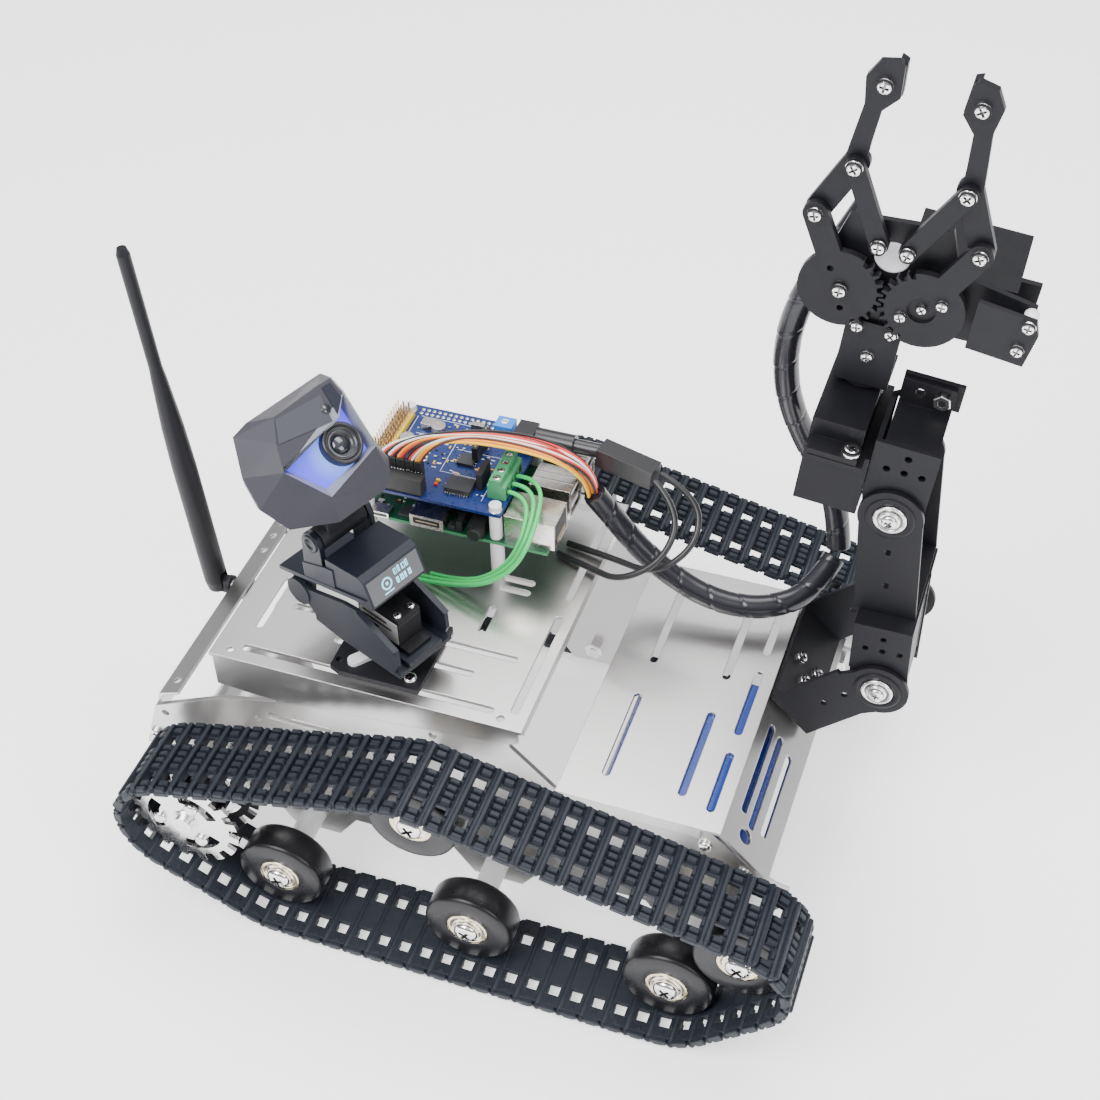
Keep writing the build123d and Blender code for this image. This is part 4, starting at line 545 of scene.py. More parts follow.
# motor wires: green pairs from the terminal block down to the deck
TBX, TBY, TBZ = PI_X + 64.5, PI_Y + 11.6, HAT_Z + 3.2
for k in range(3):
    y = TBY + 5.08 * k
    pts = [(TBX - 1.0, y, TBZ), (-13.0 + 2 * k, y - 1, TBZ + 1.4 + 1.3 * k), (-9.0 + 2.5 * k, 1.5 - 1.5 * k, TBZ - 4 + k), (-15.0 + 1.5 * k, -4.0 - 2.4 * k, 138.0),
           (-32.0, -5.5 - 2.6 * k, 124.0 + k), (-52.0 - 3 * k, 1.0 - 2.6 * k, DECK_Z + 1.3)]
    ob = nurbs("motor_wire_%d" % k, pts, 0.95, w_gr, "chassis")
    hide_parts("motor_wires")
    length(centreline(pts)) / 1000
# power leads
for nm, pts in (("power_lead_a", [(PI_X + 119.2, PI_Y + 38.0, HAT_Z + 2.0), (PI_X + 133.0, PI_Y + 31.0, HAT_Z - 5), (PI_X + 131.0, PI_Y + 15.0, HAT_Z - 19),
          (PI_X + 114.0, PI_Y + 8.0, HAT_Z - 30), (PI_X + 98.0, PI_Y + 16.0, HAT_Z - 34.5), (PI_X + 82.0, PI_Y + 21.0, HAT_Z - 35.0)]),
                ("power_lead_b", [(PI_X + 120.2, PI_Y + 43.0, HAT_Z + 2.0), (PI_X + 138.0, PI_Y + 41.0, HAT_Z - 4), (PI_X + 142.0, PI_Y + 26.0, HAT_Z - 17),
          (PI_X + 127.0, PI_Y + 15.0, HAT_Z - 29), (PI_X + 104.0, PI_Y + 25.0, HAT_Z - 34.5), (PI_X + 84.0, PI_Y + 28.0, HAT_Z - 35.0)])):
    ob = nurbs(nm, pts, 1.4, w_bk, "chassis")
    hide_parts("power_leads")
    length(centreline(pts)) / 1000
# servo leads, three wires each
d0 = Vector((7.8, 1.9, -12.5)).normalized()
e1 = d0.cross(Vector((0, 0, 1))).normalized()
e2 = d0.cross(e1)
h0 = Vector((7.2, 42.6, 144.5))
if e1.y < 0:
    e1, e2 = -e1, -e2
sets = [(w_wh, w_re, w_bk), (w_wh, w_re, w_bk), (w_or, w_re, w_br), (w_bk, w_re, w_wh), (w_ye, w_or, w_br)]
fans = [(0, 4.8, 0, 1.75, 1.7), (1, 2.4, 1.0, 1.7, -1.75), (2, 0.0, 2.2, 0, 0), (3, -2.4, 3.0, -1.7, 1.75), (4, -4.8, 3.6, -1.75, -1.7)]
for i, dy, dz, o1, o2 in fans:
    for j in (-1, 0, 1):
        o = e1 * (o1 + 0.75 * j) + e2 * (o2 + (0.45 if j == 0 else 0.0))
        p5, p6 = Vector((5.4, 42.1, 156.4)) + o, h0 - d0 * 1.2 + o
        wig = 0.9 * math.sin(1.7 * i + j)
        pts = [(PI_X + 10.8 + 4.0 * i + 1.1 * j, PI_Y + 7.5, HAT_Z + 13.2), (PI_X + 15.0 + 4.0 * i + 1.2 * j, PI_Y + 10 + dy * 0.4, HAT_Z + 19 + dz + abs(j) * 0.4),
               (-40.0 + j * 0.5, 31.0 + dy + 1.15 * j, 172.0 + dz + wig), (-11.5, 37.0 + dy + 1.1 * j, 169.0 + dz * 0.5 + wig * 0.6), tuple(p5), tuple(p6)]
        ob = nurbs("servo_wire_%d%s" % (i, "abc"[j + 1]), pts, 0.62, sets[i][j + 1], "chassis")
        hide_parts("servo_wires")
        length(centreline(pts)) / 1000
# harness in spiral wrap
HARNESS = [(7.2, 42.6, 144.5), (15.0, 44.5, 132.0), (27.0, 44.5, 117.0), (45.0, 41.5, 106.0), (64.0, 39.5, 100.5),
           (84.0, 42.0, 100.0), (101.0, 53.0, 104.0), (107.0, 67.5, 114.3)]
HARNESS_UP = [(107.9, 69.6, 119.5), (106.0, 73.5, 135.0), (97.0, 71.0, 160.0), (86.0, 66.0, 185.0), (80.5, 62.0, 208.0),
              (80.0, 60.0, 232.0), (85.0, 61.0, 254.0), (95.0, 66.0, 272.0), (103.0, 73.0, 288.0)]
line = centreline(HARNESS)
P, path = wrapped("harness_deck_wrap", line, 5.2, wrap, pitch=15.0)
hd = P.emit("harness_deck_wrap", "chassis", ["harness_deck"], "cable_black")
line = centreline(HARNESS_UP)
P, path = wrapped("harness_arm_wrap", line, 5.2, wrap, pitch=16.0)
ha = P.emit("harness_arm_wrap", "chassis", ["harness_arm"], "cable_black")

# ------------------------------------------------------------------ tracks
ROLLER, IDLER, SPROCKET = (-20.6, 86.0), (114.5, 54.0), (-124.0, 51.5)
ROAD_X, AXLE_Z, HR, SHR = (-85.5, 0.0, 86.0), 24.8, 21.3, 26.6


def hinge_points(n):
    cs = [(SPROCKET[0], SPROCKET[1], SHR), (ROLLER[0], ROLLER[1], HR), (IDLER[0], IDLER[1], HR), (ROAD_X[2], AXLE_Z, HR), (ROAD_X[0], AXLE_Z, HR)]
    tang = []
    for i in range(5):
        (x1, y1, r1), (x2, y2, r2) = cs[i], cs[(i + 1) % 5]
        dx, dy = x2 - x1, y2 - y1
        a = math.atan2(dy, dx) + math.pi / 2 - math.asin((r1 - r2) / math.hypot(dx, dy))
        tang.append(((x1 + r1 * math.cos(a), y1 + r1 * math.sin(a)), (x2 + r2 * math.cos(a), y2 + r2 * math.sin(a)), a))
    pts = []
    for i in range(5):
        p, q, a = tang[i]
        k = max(2, int(math.hypot(q[0] - p[0], q[1] - p[1]) / 0.5))
        pts += [(p[0] + (q[0] - p[0]) * t / k, p[1] + (q[1] - p[1]) * t / k) for t in range(k)]
        x, y, r = cs[(i + 1) % 5]
        da = (a - tang[(i + 1) % 5][2]) % (2 * math.pi)
        k = max(2, int(da * r / 0.25))
        pts += [(x + r * math.cos(a - da * t / k), y + r * math.sin(a - da * t / k)) for t in range(k)]
    pts.append(pts[0])
    cum = [0.0]
    for a, b in zip(pts, pts[1:]):
        cum.append(cum[-1] + math.hypot(b[0] - a[0], b[1] - a[1]))
    out, j = [], 0
    for i in range(n):
        s = cum[-1] * i / n
        while cum[j + 1] < s:
            j += 1
        t = (s - cum[j]) / (cum[j + 1] - cum[j])
        out.append((pts[j][0] + (pts[j + 1][0] - pts[j][0]) * t, pts[j][1] + (pts[j + 1][1] - pts[j][1]) * t))
    return out


HP = hinge_points(68)


def link_parts(P):
    # x along the track, y across, z outward, hinge line at z = 0
    hw = 19.5
    for s in (-1, 1):
        P.box(-3.9, 3.9, s * 12.5, s * 17.6, -1.3, 0.9, rubber, 0.25)
        P.box(-2.9, 4.1, s * 17.3, s * hw, -1.2, 1.2, rubber, 0.3)
        P.box(-3.9, -2.35, s * 7.1, s * 12.6, -1.3, 0.9, rubber, 0.2)
        P.box(2.35, 3.9, s * 7.1, s * 12.6, -1.3, 0.9, rubber, 0.2)
        P.box(-1.9, 3.3, s * 13.2, s * 16.3, 0.7, 2.7, rubber, 0.45, 0.18)
        P.box(-2.0, 3.3, s * 16.7, s * 19.2, 0.7, 2.9, rubber, 0.45, 0.15)
        P.box(2.3, 3.9, s * 8.2, s * 11.6, 0.7, 2.2, rubber, 0.35, 0.1)
    P.box(-3.9, 3.9, -7.2, 7.2, -1.3, 0.9, rubber, 0.25)
    for y in (-5.2, -1.75, 1.75, 5.2):
        P.box(-1.9, 3.3, y - 1.45, y + 1.45, 0.7, 2.7, rubber, 0.5, 0.2)
    # crossbar, tall and tapered, with rounded ends
    P.box(-4.35, -2.35, -18.7, 18.7, 0.3, 3.5, rubber, 0.4, 0.035)
    # hinge barrel and pin ends
    P.cyl((-4.8, -18.2, 0.0), (0, 1, 0), 1.45, 36.4, rubber, 12, 0.3)
    P.cyl((-4.8, -19.4, 0.9), (0, 1, 0), 1.25, 38.8, rubber, 12, 0.35)
    # inner ribs
    P.box(-0.7, 0.7, -16.5, -13.0, -1.45, -1.0, rubber, 0.2)
    P.box(-0.7, 0.7, 13.0, 16.5, -1.45, -1.0, rubber, 0.2)


proto = Part()
link_parts(proto)
for side, word in ((1, "left"), (-1, "right")):
    P = Part()
    P.mats = [rubber]
    for i in range(68):
        a, b = HP[i], HP[(i + 1) % 68]
        ux, uz = b[0] - a[0], b[1] - a[1]
        d = math.hypot(ux, uz)
        ux, uz = ux / d, uz / d
        o = Vector(((a[0] + b[0]) / 2, side * 97.0, (a[1] + b[1]) / 2))
        X, Y, Z = Vector((ux, 0, uz)), Vector((0, 1, 0)), Vector((-uz, 0, ux))
        k = len(P.v)
        P.v += [o + X * v.x + Y * v.y + Z * v.z for v in proto.v]
        P.f += [tuple(k + q for q in f) for f in proto.f]
        P.mi += proto.mi
        P.sm += proto.sm
    P.emit("track_links_" + word, "chassis", ["track_" + word], "track_rubber")

# ------------------------------------------------------------------ wheels, bearings, screws
spots = [("rear_wheel", "road_wheel_rear", -85.5, AXLE_Z), ("mid_wheel", "road_wheel_mid", 0.0, AXLE_Z), ("front_wheel", "road_wheel_front", 86.0, AXLE_Z),
         ("idler", "idler_wheel", IDLER[0], IDLER[1]), ("roller", "return_roller", ROLLER[0], ROLLER[1])]
B, S = Part(), Part()
for side, word in ((1, "left"), (-1, "right")):
    for bname, nname, x, z in spots:
        P = Part()
        y0 = side * (97.0 - 6.7)
        d = (0, side, 0)
        P.lathe((x, y0, z), d, [(9.06, 0.8), (9.06, 0.1), (9.3, 0.0), (17.3, 0.0), (18.6, 0.5), (19.1, 1.7), (19.1, 11.7), (18.6, 12.9), (17.4, 13.4),
                                (9.4, 13.4), (9.1, 13.3), (9.06, 12.6), (8.1, 12.6), (8.1, 0.8), (9.06, 0.8)], wheel_m, 72)
        P.emit(nname + "_" + word + "_look", bname + "_" + word, [nname + "_" + word], "wheel_black")
        for s2 in (1, -1):
            yf = side * (97.0 + s2 * (6.7 + 0.15))
            dd = (0, side * s2, 0)
            B.lathe((x, yf, z), dd, [(8.95, -1.0), (8.98, -0.15), (8.8, 0.0), (7.5, 0.0), (7.2, -0.2, gold), (6.9, -0.75, steel_fine), (5.6, -0.75, gold), (5.3, -0.3, gold),
                                     (4.3, -0.25, gold), (4.2, -2.0)], gold, 56)
        yo = side * (97.0 + 6.7 + 0.15)
        screw(S, (x, yo, z), (0, side, 0), 5.3, 3.1)
        hexnut(S, (x, side * 65.6, z), (0, -side, 0), 4.6, 4.2, 2.0)
        S.cyl((x, side * 61.0, z), (0, side, 0), 2.4, 42, steel_fine, 20)
for s in (1, -1):
    for x, z in [(-158.3, 52.0), (90.0, 75.0), (106.5, 63.0)]:
        screw(S, (x, s * 67.6, z), (0, s, 0), 2.9, 2.0)
screw(S, (-36.5, -58.6, DECK_Z + 2.5), (0, 0, 1), 2.8, 1.9)
screw(S, (-36.3, -28.9, DECK_Z + 2.5), (0, 0, 1), 2.8, 1.9)
for x in (3.5, 61.5):
    for y in (3.5, 52.5):
        if x > 50:
            pass
B.emit("bearing_rings", "chassis", ["wheel_bearings"], "bearing_brass")
S.emit("cross_head_screws", "chassis", ["steel_screws"], "screw_steel")

# sprockets: bright outer disc, dark inner disc
for side, word in ((1, "left"), (-1, "right")):
    def rule(x, y, z, n, side=side):
        yy = y * side
        if yy > 105.3:
            return steel_fine
        if yy > 88:
            r = math.hypot(x - SPROCKET[0], z - SPROCKET[1])
            return steel_fine if (yy < 106 and r < 7) else plast_m
        return steel_fine
    recolour("sprocket_" + word, "drive_" + word, rule)
    P = Part()
    cx, cz = SPROCKET
    screw(P, (cx, side * (97 + 9.8 + 1.7), cz), (0, side, 0), 4.4, 2.0)
    for k in range(3):
        a = math.radians(120 * k + 185)
        screw(P, (cx + 11.5 * math.cos(a), side * (97 + 9.8 + 0.9), cz + 11.5 * math.sin(a)), (0, side, 0), 3.1, 1.8)
        P.cyl((cx + 11.5 * math.cos(a), side * (97 - 9.0), cz + 11.5 * math.sin(a)), (0, side, 0), 2.2, 18, steel_fine, 20)
    P.emit("sprocket_screws_" + word, "drive_" + word, [], "screw_steel")

# ------------------------------------------------------------------ plates
for n in ("side_plate_left", "side_plate_right", "rear_deck", "front_deck", "rear_panel"):
    paint(n, steel)
paint("drive_motors", mat("motor_can", (0.5, 0.5, 0.5), 1.0, 0.35, bevel=0.4, noise=(200, 0.06)))
paint("battery_pack", batt)
paint("nylon_spacers", nylon)
paint("antenna_socket", dark_steel_and_shade)
paint("antenna_knuckle", plast_m)
paint("antenna_whip", mat("antenna_black", (0.01, 0.01, 0.013), 0.0, 0.45, bevel=0.4, bump=(2500, 0.12, 0.00005), spec=0.25))
# silver extras on the pan base: white horn
recolour("pan_base_plate", "chassis", lambda x, y, z, n: white_hole if (z > DECK_Z + 2.55 and abs(x + 58.5) < 8 and abs(y + 53.5) < 8 and math.hypot(x + 52, y + 46) > 6.1) else plast_m)
paint("pan_bracket", bracket_m)
paint("pan_servo", plast)
paint("display_box", display_m)
for n in ("arm_base_bracket", "shoulder_frame", "upper_arm_bracket", "elbow_frame", "wrist_frame", "gripper_base", "jaw_gear_front", "jaw_gear_rear", "link_front", "link_rear", "finger_front", "finger_rear"):
    paint(n, blk)
for n in ("shoulder_servo", "elbow_servo", "wrist_servo", "gripper_servo"):
    paint(n, plast)
TILT = "tilt_frame"
# ------------------------------------------------------------------ camera head
az, el = math.radians(-22.3), math.radians(51.9)
ca, sa, ce, se = math.cos(az), math.sin(az), math.cos(el), math.sin(el)
HN = Vector((ca * ce, sa * ce, se))
HH = Vector((-sa, ca, 0.0))
HZ = HN.cross(HH)
LENS = Vector((-62.7, -42.0, 222.9))
HEAD = Matrix.Translation(LENS) @ Matrix((HN, HH, HZ)).transposed().to_4x4()
# centre of the painted glow on the face panel
GLOW = tuple(W(HEAD @ Vector((-2.0, -5.0, -1.5))))
panel_glow_m = painted_glow_panel_material()
face_dark = mat("visor_inner", (0.035, 0.037, 0.05), 0.0, 0.4, bevel=0)
# painted highlight: a brighter copy of the head grey for the bevelled walls round the panel and a ring in the lens
face_wall_highlight = mat("face_wall_painted_highlight", (0.20, 0.21, 0.25), 0.0, 0.4, bevel=0.2, bump=(2500, 0.1, 0.00005))
# painted shade: a darker copy of the head grey for the right-hand facets, which lie in shadow
head_shade_m = mat("head_painted_shade", (0.014, 0.017, 0.027), 0.0, 0.42, bevel=0.5, bump=(3000, 0.08, 0.00005), spec=0.2)
P = Part()
P.T = HEAD
rimf = [(-17.9, -14.3), (9.7, -8.2), (12.0, 14.9), (11.5, 22.2), (5.6, 22.5), (-17.1, 21.6), (-23.1, 13.0), (-27.5, 2.7)]
sil = [(-21.6, 26.8), (16.1, 27.3), (18.9, 23.8), (19.7, 17.2), (17.4, -4.7), (17.7, -13.8), (14.1, -19.6), (8.1, -22.9), (-15.3, -22.9), (-33.6, -14.6), (-38.4, -2.6), (-36.4, 10.7), (-29.4, 25.1)]
back = [(y * 0.74 - 1.0, z * 0.72 + 2.0) for y, z in sil]
cen = Vector((-6.0, 3.0))


def ang(p):
    return math.atan2(p[1] - cen.y, p[0] - cen.x)


def strip(A, xa, Bq, xb, pick):
    A = sorted(A, key=ang)
    Bq = sorted(Bq, key=ang)
    i = j = 0
    n, k = len(A), len(Bq)
    while i < n or j < k:
        ai, bj = A[i % n], Bq[j % k]
        an = ang(A[(i + 1) % n]) + (2 * math.pi if i + 1 >= n else 0)
        bn = ang(Bq[(j + 1) % k]) + (2 * math.pi if j + 1 >= k else 0)
        if j >= k or (i < n and an <= bn):
            t = [(xa, *ai), (xa, *A[(i + 1) % n]), (xb, *bj)]
            i += 1
        else:
            t = [(xa, *ai), (xb, *Bq[(j + 1) % k]), (xb, *bj)]
            j += 1
        c0 = (sum(p[1] for p in t) / 3, sum(p[2] for p in t) / 3)
        P.add(t, [(0, 1, 2)], pick(c0))


# facets on the right-hand side take the painted shade, the rest the head grey
strip(rimf, 2.0, sil, -10.0, lambda c0: head_shade_m if c0[0] > 9 and c0[1] < 24 else head_m)
strip(sil, -10.0, back, -29.5, lambda c0: head_shade_m if c0[0] > 13 else head_m)
P.add([(-29.5, y, z) for y, z in sorted(back, key=ang)], [tuple(range(len(back)))], head_m)
# face: visor band, recess walls with a painted highlight, panel with a painted glow
A0, A1 = (-27.5, 2.7), (12.0, 14.9)
P.add([(2.0, *p) for p in (A0, A1, (11.5, 22.2), (5.6, 22.5), (-17.1, 21.6), (-23.1, 13.0))], [(0, 1, 2, 3, 4, 5)], head_m)
P.add([(2.3, *p) for p in ((-22.6, 12.3), (1.2, 8.4), (3.7, 19.0), (-17.5, 20.5))], [(0, 1, 2, 3)], face_dark)
# a painted-shade patch at the right-hand end of the visor band
P.add([(2.3, *p) for p in ((4.6, 9.4), (10.3, 14.0), (10.2, 20.8), (6.0, 21.0))], [(0, 1, 2, 3)], head_shade_m)
# the lower rim below the panel in the painted highlight
P.add([(2.0, *p) for p in (A0, (-26.4, 4.6), (1.2, 7.4), (4.6, 8.4), A1)], [(0, 4, 3, 2, 1)], face_wall_highlight)
panel = [(-24.2, 4.0), (-15.2, -10.4), (-0.4, -8.6), (8.6, -6.4), (10.4, 14.0)]
# the panel, with its painted glow
P.add([(-2.6, *p) for p in panel], [(0, 1, 2, 3, 4)], panel_glow_m)
edge = [A0, (-17.9, -14.3), (-2.0, -10.9), (9.7, -8.2), A1]
# recess walls from the rim down to the panel, in the painted highlight
for i in range(4):
    P.add([(2.0, *edge[i]), (2.0, *edge[i + 1]), (-2.6, *panel[i + 1]), (-2.6, *panel[i])], [(0, 1, 2, 3)], face_wall_highlight)
# the top wall of the recess in painted shade
P.add([(2.0, *A1), (2.0, *A0), (-2.6, *panel[0]), (-2.6, *panel[4])], [(0, 1, 2, 3)], head_shade_m)
# small eye beside the visor
P.cyl((1.9, 1.9, 13.6), (1, 0, 0), 1.5, 0.7, glass, 24)
P.lathe((1.9, 1.9, 13.6), (1, 0, 0), [(1.5, 0.0), (2.1, 0.0), (2.1, 0.6), (1.5, 0.6)], lens_ring, 24)
# neck: hinge barrel and post
T0 = Matrix.Translation(Vector((-52.0, -46.0, 0.0))) @ Matrix.Rotation(az, 4, "Z")
P.T = T0
TX, TZ, RX, RZ = -21.0, 175.5, -33.0, 142.0
P.cyl((TX, -11.6, TZ), (0, 1, 0), 5.0, 23.2, plast_m, 32, 0.5)
P.prism([(TX - 4.6, TZ), (TX + 4.6, TZ + 1), (TX + 2.5, TZ + 19), (TX - 11.0, TZ + 26)], -8.5, 9.5, plast_m, 0.5)
P.emit("camera_head_look", "head", ["camera_head"], "head_grey")
P = Part()
P.T = HEAD
# lens barrel: the dark-steel step is painted shade, the pale bevel ring a painted highlight
P.lathe((-2.7, 0, 0), (1, 0, 0), [(8.3, 0.0), (8.3, 3.4), (7.9, 4.1), (7.3, 4.2), (6.9, 3.6), (6.8, 2.6), (6.5, 2.6, dark_steel_and_shade), (6.4, 3.1, lens_ring), (5.8, 3.1), (5.6, 2.2), (5.2, 2.2, face_wall_highlight), (5.0, 2.5, lens_ring),
                                  (4.4, 2.5), (4.2, 1.4), (3.9, 1.4)], lens_ring, 64)
P.lathe((-2.7, 0, 0), (1, 0, 0), [(3.9, 1.4), (3.5, 2.0), (2.5, 2.6), (1.2, 2.9), (0.001, 3.0)], glass, 48)
P.emit("camera_lens_look", "head", ["camera_lens"], "lens_glass")

# ------------------------------------------------------------------ pan bracket, servo and display details
P = Part()
P.T = T0
# servo label on its near side, with printed lines
P.box(-6.4, 14.9, -6.35, -6.05, 136.4, 147.4, silver_lab, 0.05)
for k, (a, b2) in enumerate(((-4.5, 9.0), (-4.5, 11.5), (-4.5, 4.0))):
    P.box(a, b2, -6.42, -6.3, 144.6 - 2.6 * k, 145.6 - 2.6 * k, hblack, 0.02)
P.box(-7.3, 15.6, -6.2, 6.2, 146.6, 146.9, hblack, 0.05)
for sy in (-3.6, 3.6):
    screw(P, (12.9, sy, 149.6), (0, 0, 1), 1.7, 1.0)
P.emit("pan_servo_details", "pan_body", [], "servo_black")
P = Part()
P.T = T0
# face direction of the display's sloped front
f0, f1 = Vector((7.6, 0, 171.6)), Vector((12.0, 0, 160.4))
dn = (f1 - f0).normalized()
nn = Vector((-dn.z, 0, dn.x)) * 1.0
if nn.x < 0:
    nn = -nn
P.T = T0 @ Matrix.Translation(f0) @ Matrix((Vector((0, 1, 0)), -dn, nn)).transposed().to_4x4()
P.box(-13.4, 13.4, -11.2, -0.8, -0.02, 0.08, glass, 0.02)
# generic light-blue marks: a ring, bars and dashes
P.lathe((-4.4, -5.8, 0.10), (0, 0, 1), [(2.6, 0), (2.6, 0.05), (1.9, 0.05), (1.9, 0)], oled, 32)
P.box(-5.0, -3.8, -6.4, -5.2, 0.08, 0.16, oled, 0.02)
P.box(-7.0, -1.9, -9.7, -9.2, 0.08, 0.16, oled, 0.02)
for k, (w1, h1) in enumerate(((1.5, 2.4), (1.1, 2.8), (1.7, 2.4), (1.2, 2.8))):
    P.box(0.2 + 2.1 * k, 0.2 + 2.1 * k + w1, -4.6, -4.6 + h1, 0.08, 0.16, oled, 0.02)
    P.box(0.2 + 2.1 * k + 0.5, 0.2 + 2.1 * k + w1 - 0.3, -4.2, -4.9 + h1, 0.12, 0.18, glass, 0.02)
for k, (w1, h1) in enumerate(((1.3, 2.6), (1.6, 2.6), (1.0, 2.6), (1.5, 2.6))):
    P.box(0.2 + 2.1 * k, 0.2 + 2.1 * k + w1, -8.6, -8.6 + h1, 0.08, 0.16, oled, 0.02)
    P.box(0.2 + 2.1 * k + 0.4, 0.2 + 2.1 * k + w1 - 0.5, -7.8, -7.2, 0.12, 0.18, glass, 0.02)
P.T = T0
for s in (-1, 1):
    P.lathe((TX, s * 14.6, TZ), (0, s, 0), [(4.0, 0), (4.0, 0.4), (2.4, 0.4), (2.3, 0.1), (0.001, 0.1)], display_m, 32)
P.emit("display_details", TILT, [], "display_black")

# ------------------------------------------------------------------ boards
random.seed(11)
EZ = PI_Z


def pib(x, y):
    return PI_X + x, PI_Y + y


recolour("computer_board", "chassis", lambda x, y, z, n: pcb_g if abs(n.z) > 0.5 else pcb_e)
recolour("driver_board", "chassis", lambda x, y, z, n: (pcb_b if abs(n.z) > 0.5 or z < HAT_Z + 0.01 else chip) if z < HAT_Z + 0.05 else
         (tin if (z > HAT_Z + 2.6 and x < PI_X + 42 and y > PI_Y + 36) or (x < PI_X + 24 and z > HAT_Z + 2) else (blue_tr if x > PI_X + 44 and y > PI_Y + 44 else chip)))
recolour("board_connectors", "chassis", lambda x, y, z, n: hblack if (x < PI_X + 60 and x > PI_X + 42) else tin)
P = Part()
z = PI_Z
# mouths of the connectors
P.box(PI_X + 26.0, PI_X + 38.0, PI_Y - 1.55, PI_Y - 1.2, z + 1.7, z + 5.0, hblack, 0.1)
P.box(PI_X + 27.2, PI_X + 36.8, PI_Y - 1.62, PI_Y - 1.3, z + 3.0, z + 3.6, goldpin, 0.05)
P.box(PI_X + 7.8, PI_X + 13.8, PI_Y - 1.25, PI_Y - 1.0, z + 0.7, z + 2.3, hblack, 0.1)
P.lathe((PI_X + 53.5, PI_Y - 2.5, z + 3.0), (0, -1, 0), [(3.0, -0.5), (3.0, 0.1), (2.2, 0.1), (1.8, -0.4), (0.001, -0.6)], hblack, 32)
P.box(PI_X + 87.45, PI_X + 87.7, PI_Y + 4.0, PI_Y + 16.6, z + 1.6, z + 12.0, hblack, 0.1)
for k in range(8):
    P.box(PI_X + 87.6, PI_X + 87.9, PI_Y + 5.4 + 1.25 * k, PI_Y + 5.9 + 1.25 * k, z + 2.2, z + 5.2, goldpin, 0.05)
for y0 in (22.0, 40.0):
    for zz in (2.6, 9.8):
        P.box(PI_X + 79.0, PI_X + 87.2, PI_Y + y0 + 3.0, PI_Y + y0 + 11.5, z + zz + 1.6, z + zz + 3.2, white_hole, 0.1)
    P.box(PI_X + 69.5, PI_X + 87.4, PI_Y + y0 + 5.0, PI_Y + y0 + 5.6, z + 15.55, z + 15.75, dark_steel_and_shade, 0.05)
    P.box(PI_X + 69.5, PI_X + 87.4, PI_Y + y0 + 9.0, PI_Y + y0 + 9.6, z + 15.55, z + 15.75, dark_steel_and_shade, 0.05)
# small parts on the computer board
for k in range(120):
    x, y = random.uniform(3, 84), random.uniform(0.8, 20)
    if 24 < x < 40 and y < 10 or 44 < x < 58 and y < 21 or 65 < x or 6 < x < 15 and y < 5:
        continue
    w1, d1 = random.choice(((1.2, 0.7), (0.7, 1.2), (1.7, 1.0), (2.6, 1.7), (0.9, 0.5)))
    P.box(PI_X + x, PI_X + x + w1, PI_Y + y, PI_Y + y + d1, z - 0.05, z + random.uniform(0.4, 1.0), random.choice((hblack, tin, amber, silk, chip, tin)), 0.05)
P.box(PI_X + 17.5, PI_X + 23.0, PI_Y + 2.0, PI_Y + 8.0, z, z + 1.4, chip, 0.15)
P.box(PI_X + 40.5, PI_X + 43.8, PI_Y + 1.0, PI_Y + 4.5, z, z + 2.2, chip, 0.15)
P.box(PI_X + 59.0, PI_X + 63.5, PI_Y + 3.0, PI_Y + 10.0, z, z + 1.4, chip, 0.15)
P.emit("computer_board_parts", "chassis", [], "board_green")

P = Part()
z = HAT_Z
# solder pads in rows, silkscreen lines and marks, chip legs
for r in range(2):
    for k in range(20):
        x, y = PI_X + 9.2 + 2.54 * k, PI_Y + 51.2 + 2.54 * r
        P.cyl((x, y, z - 0.05), (0, 0, 1), 0.85, 0.2, padm, 12, 0.02)
        P.cyl((x, y, z + 0.1), (0, 0, 1), 0.4, 0.5, tin, 8, 0.05)
for r in range(3):
    for k in range(8):
        P.cyl((PI_X + 17.0 + 2.54 * r, PI_Y + 17.5 + 2.54 * k, z - 0.05), (0, 0, 1), 0.7, 0.16, padm, 12, 0.02)
for k in range(10):
    xx = PI_X + 38.3 + 1.05 * k
    for y0, y1 in ((5.3, 7.0), (15.1, 16.8)):
        P.box(xx, xx + 0.45, PI_Y + y0, PI_Y + y1, z, z + 1.2, tin, 0.05)
for k in range(4):
    for x0, x1 in ((35.4, 36.6), (43.4, 44.6)):
        P.box(PI_X + x0, PI_X + x1, PI_Y + 24.8 + 1.4 * k, PI_Y + 25.2 + 1.4 * k, z, z + 0.8, tin, 0.05)
for (x0, x1, y0, y1) in ((10, 62, 49.3, 49.5), (8.6, 8.8, 10, 49), (31, 54, 18.2, 18.4), (54.2, 54.4, 6, 46), (31, 31.2, 18, 46), (12, 30, 38.2, 38.4), (33, 53, 33.4, 33.6), (14, 28, 9.4, 9.6)):
    P.box(PI_X + x0, PI_X + x1, PI_Y + y0, PI_Y + y1, z - 0.02, z + 0.05, silk, 0.01)
for k in range(46):
    x, y = random.uniform(10, 56), random.uniform(3, 48)
    P.box(PI_X + x, PI_X + x + random.uniform(0.6, 2.2), PI_Y + y, PI_Y + y + 0.5, z - 0.02, z + 0.05, silk, 0.01)
for k in range(70):
    x, y = random.uniform(10, 55), random.uniform(17.5, 48)
    w1, d1 = random.choice(((1.6, 0.8), (0.8, 1.6), (1.1, 0.6)))
    P.box(PI_X + x, PI_X + x + w1, PI_Y + y, PI_Y + y + d1, z, z + 0.55, random.choice((tin, hblack, tin, amber)), 0.05)
P.box(PI_X + 32.0, PI_X + 33.6, PI_Y + 9.0, PI_Y + 10.2, z, z + 1.2, red_m, 0.1)
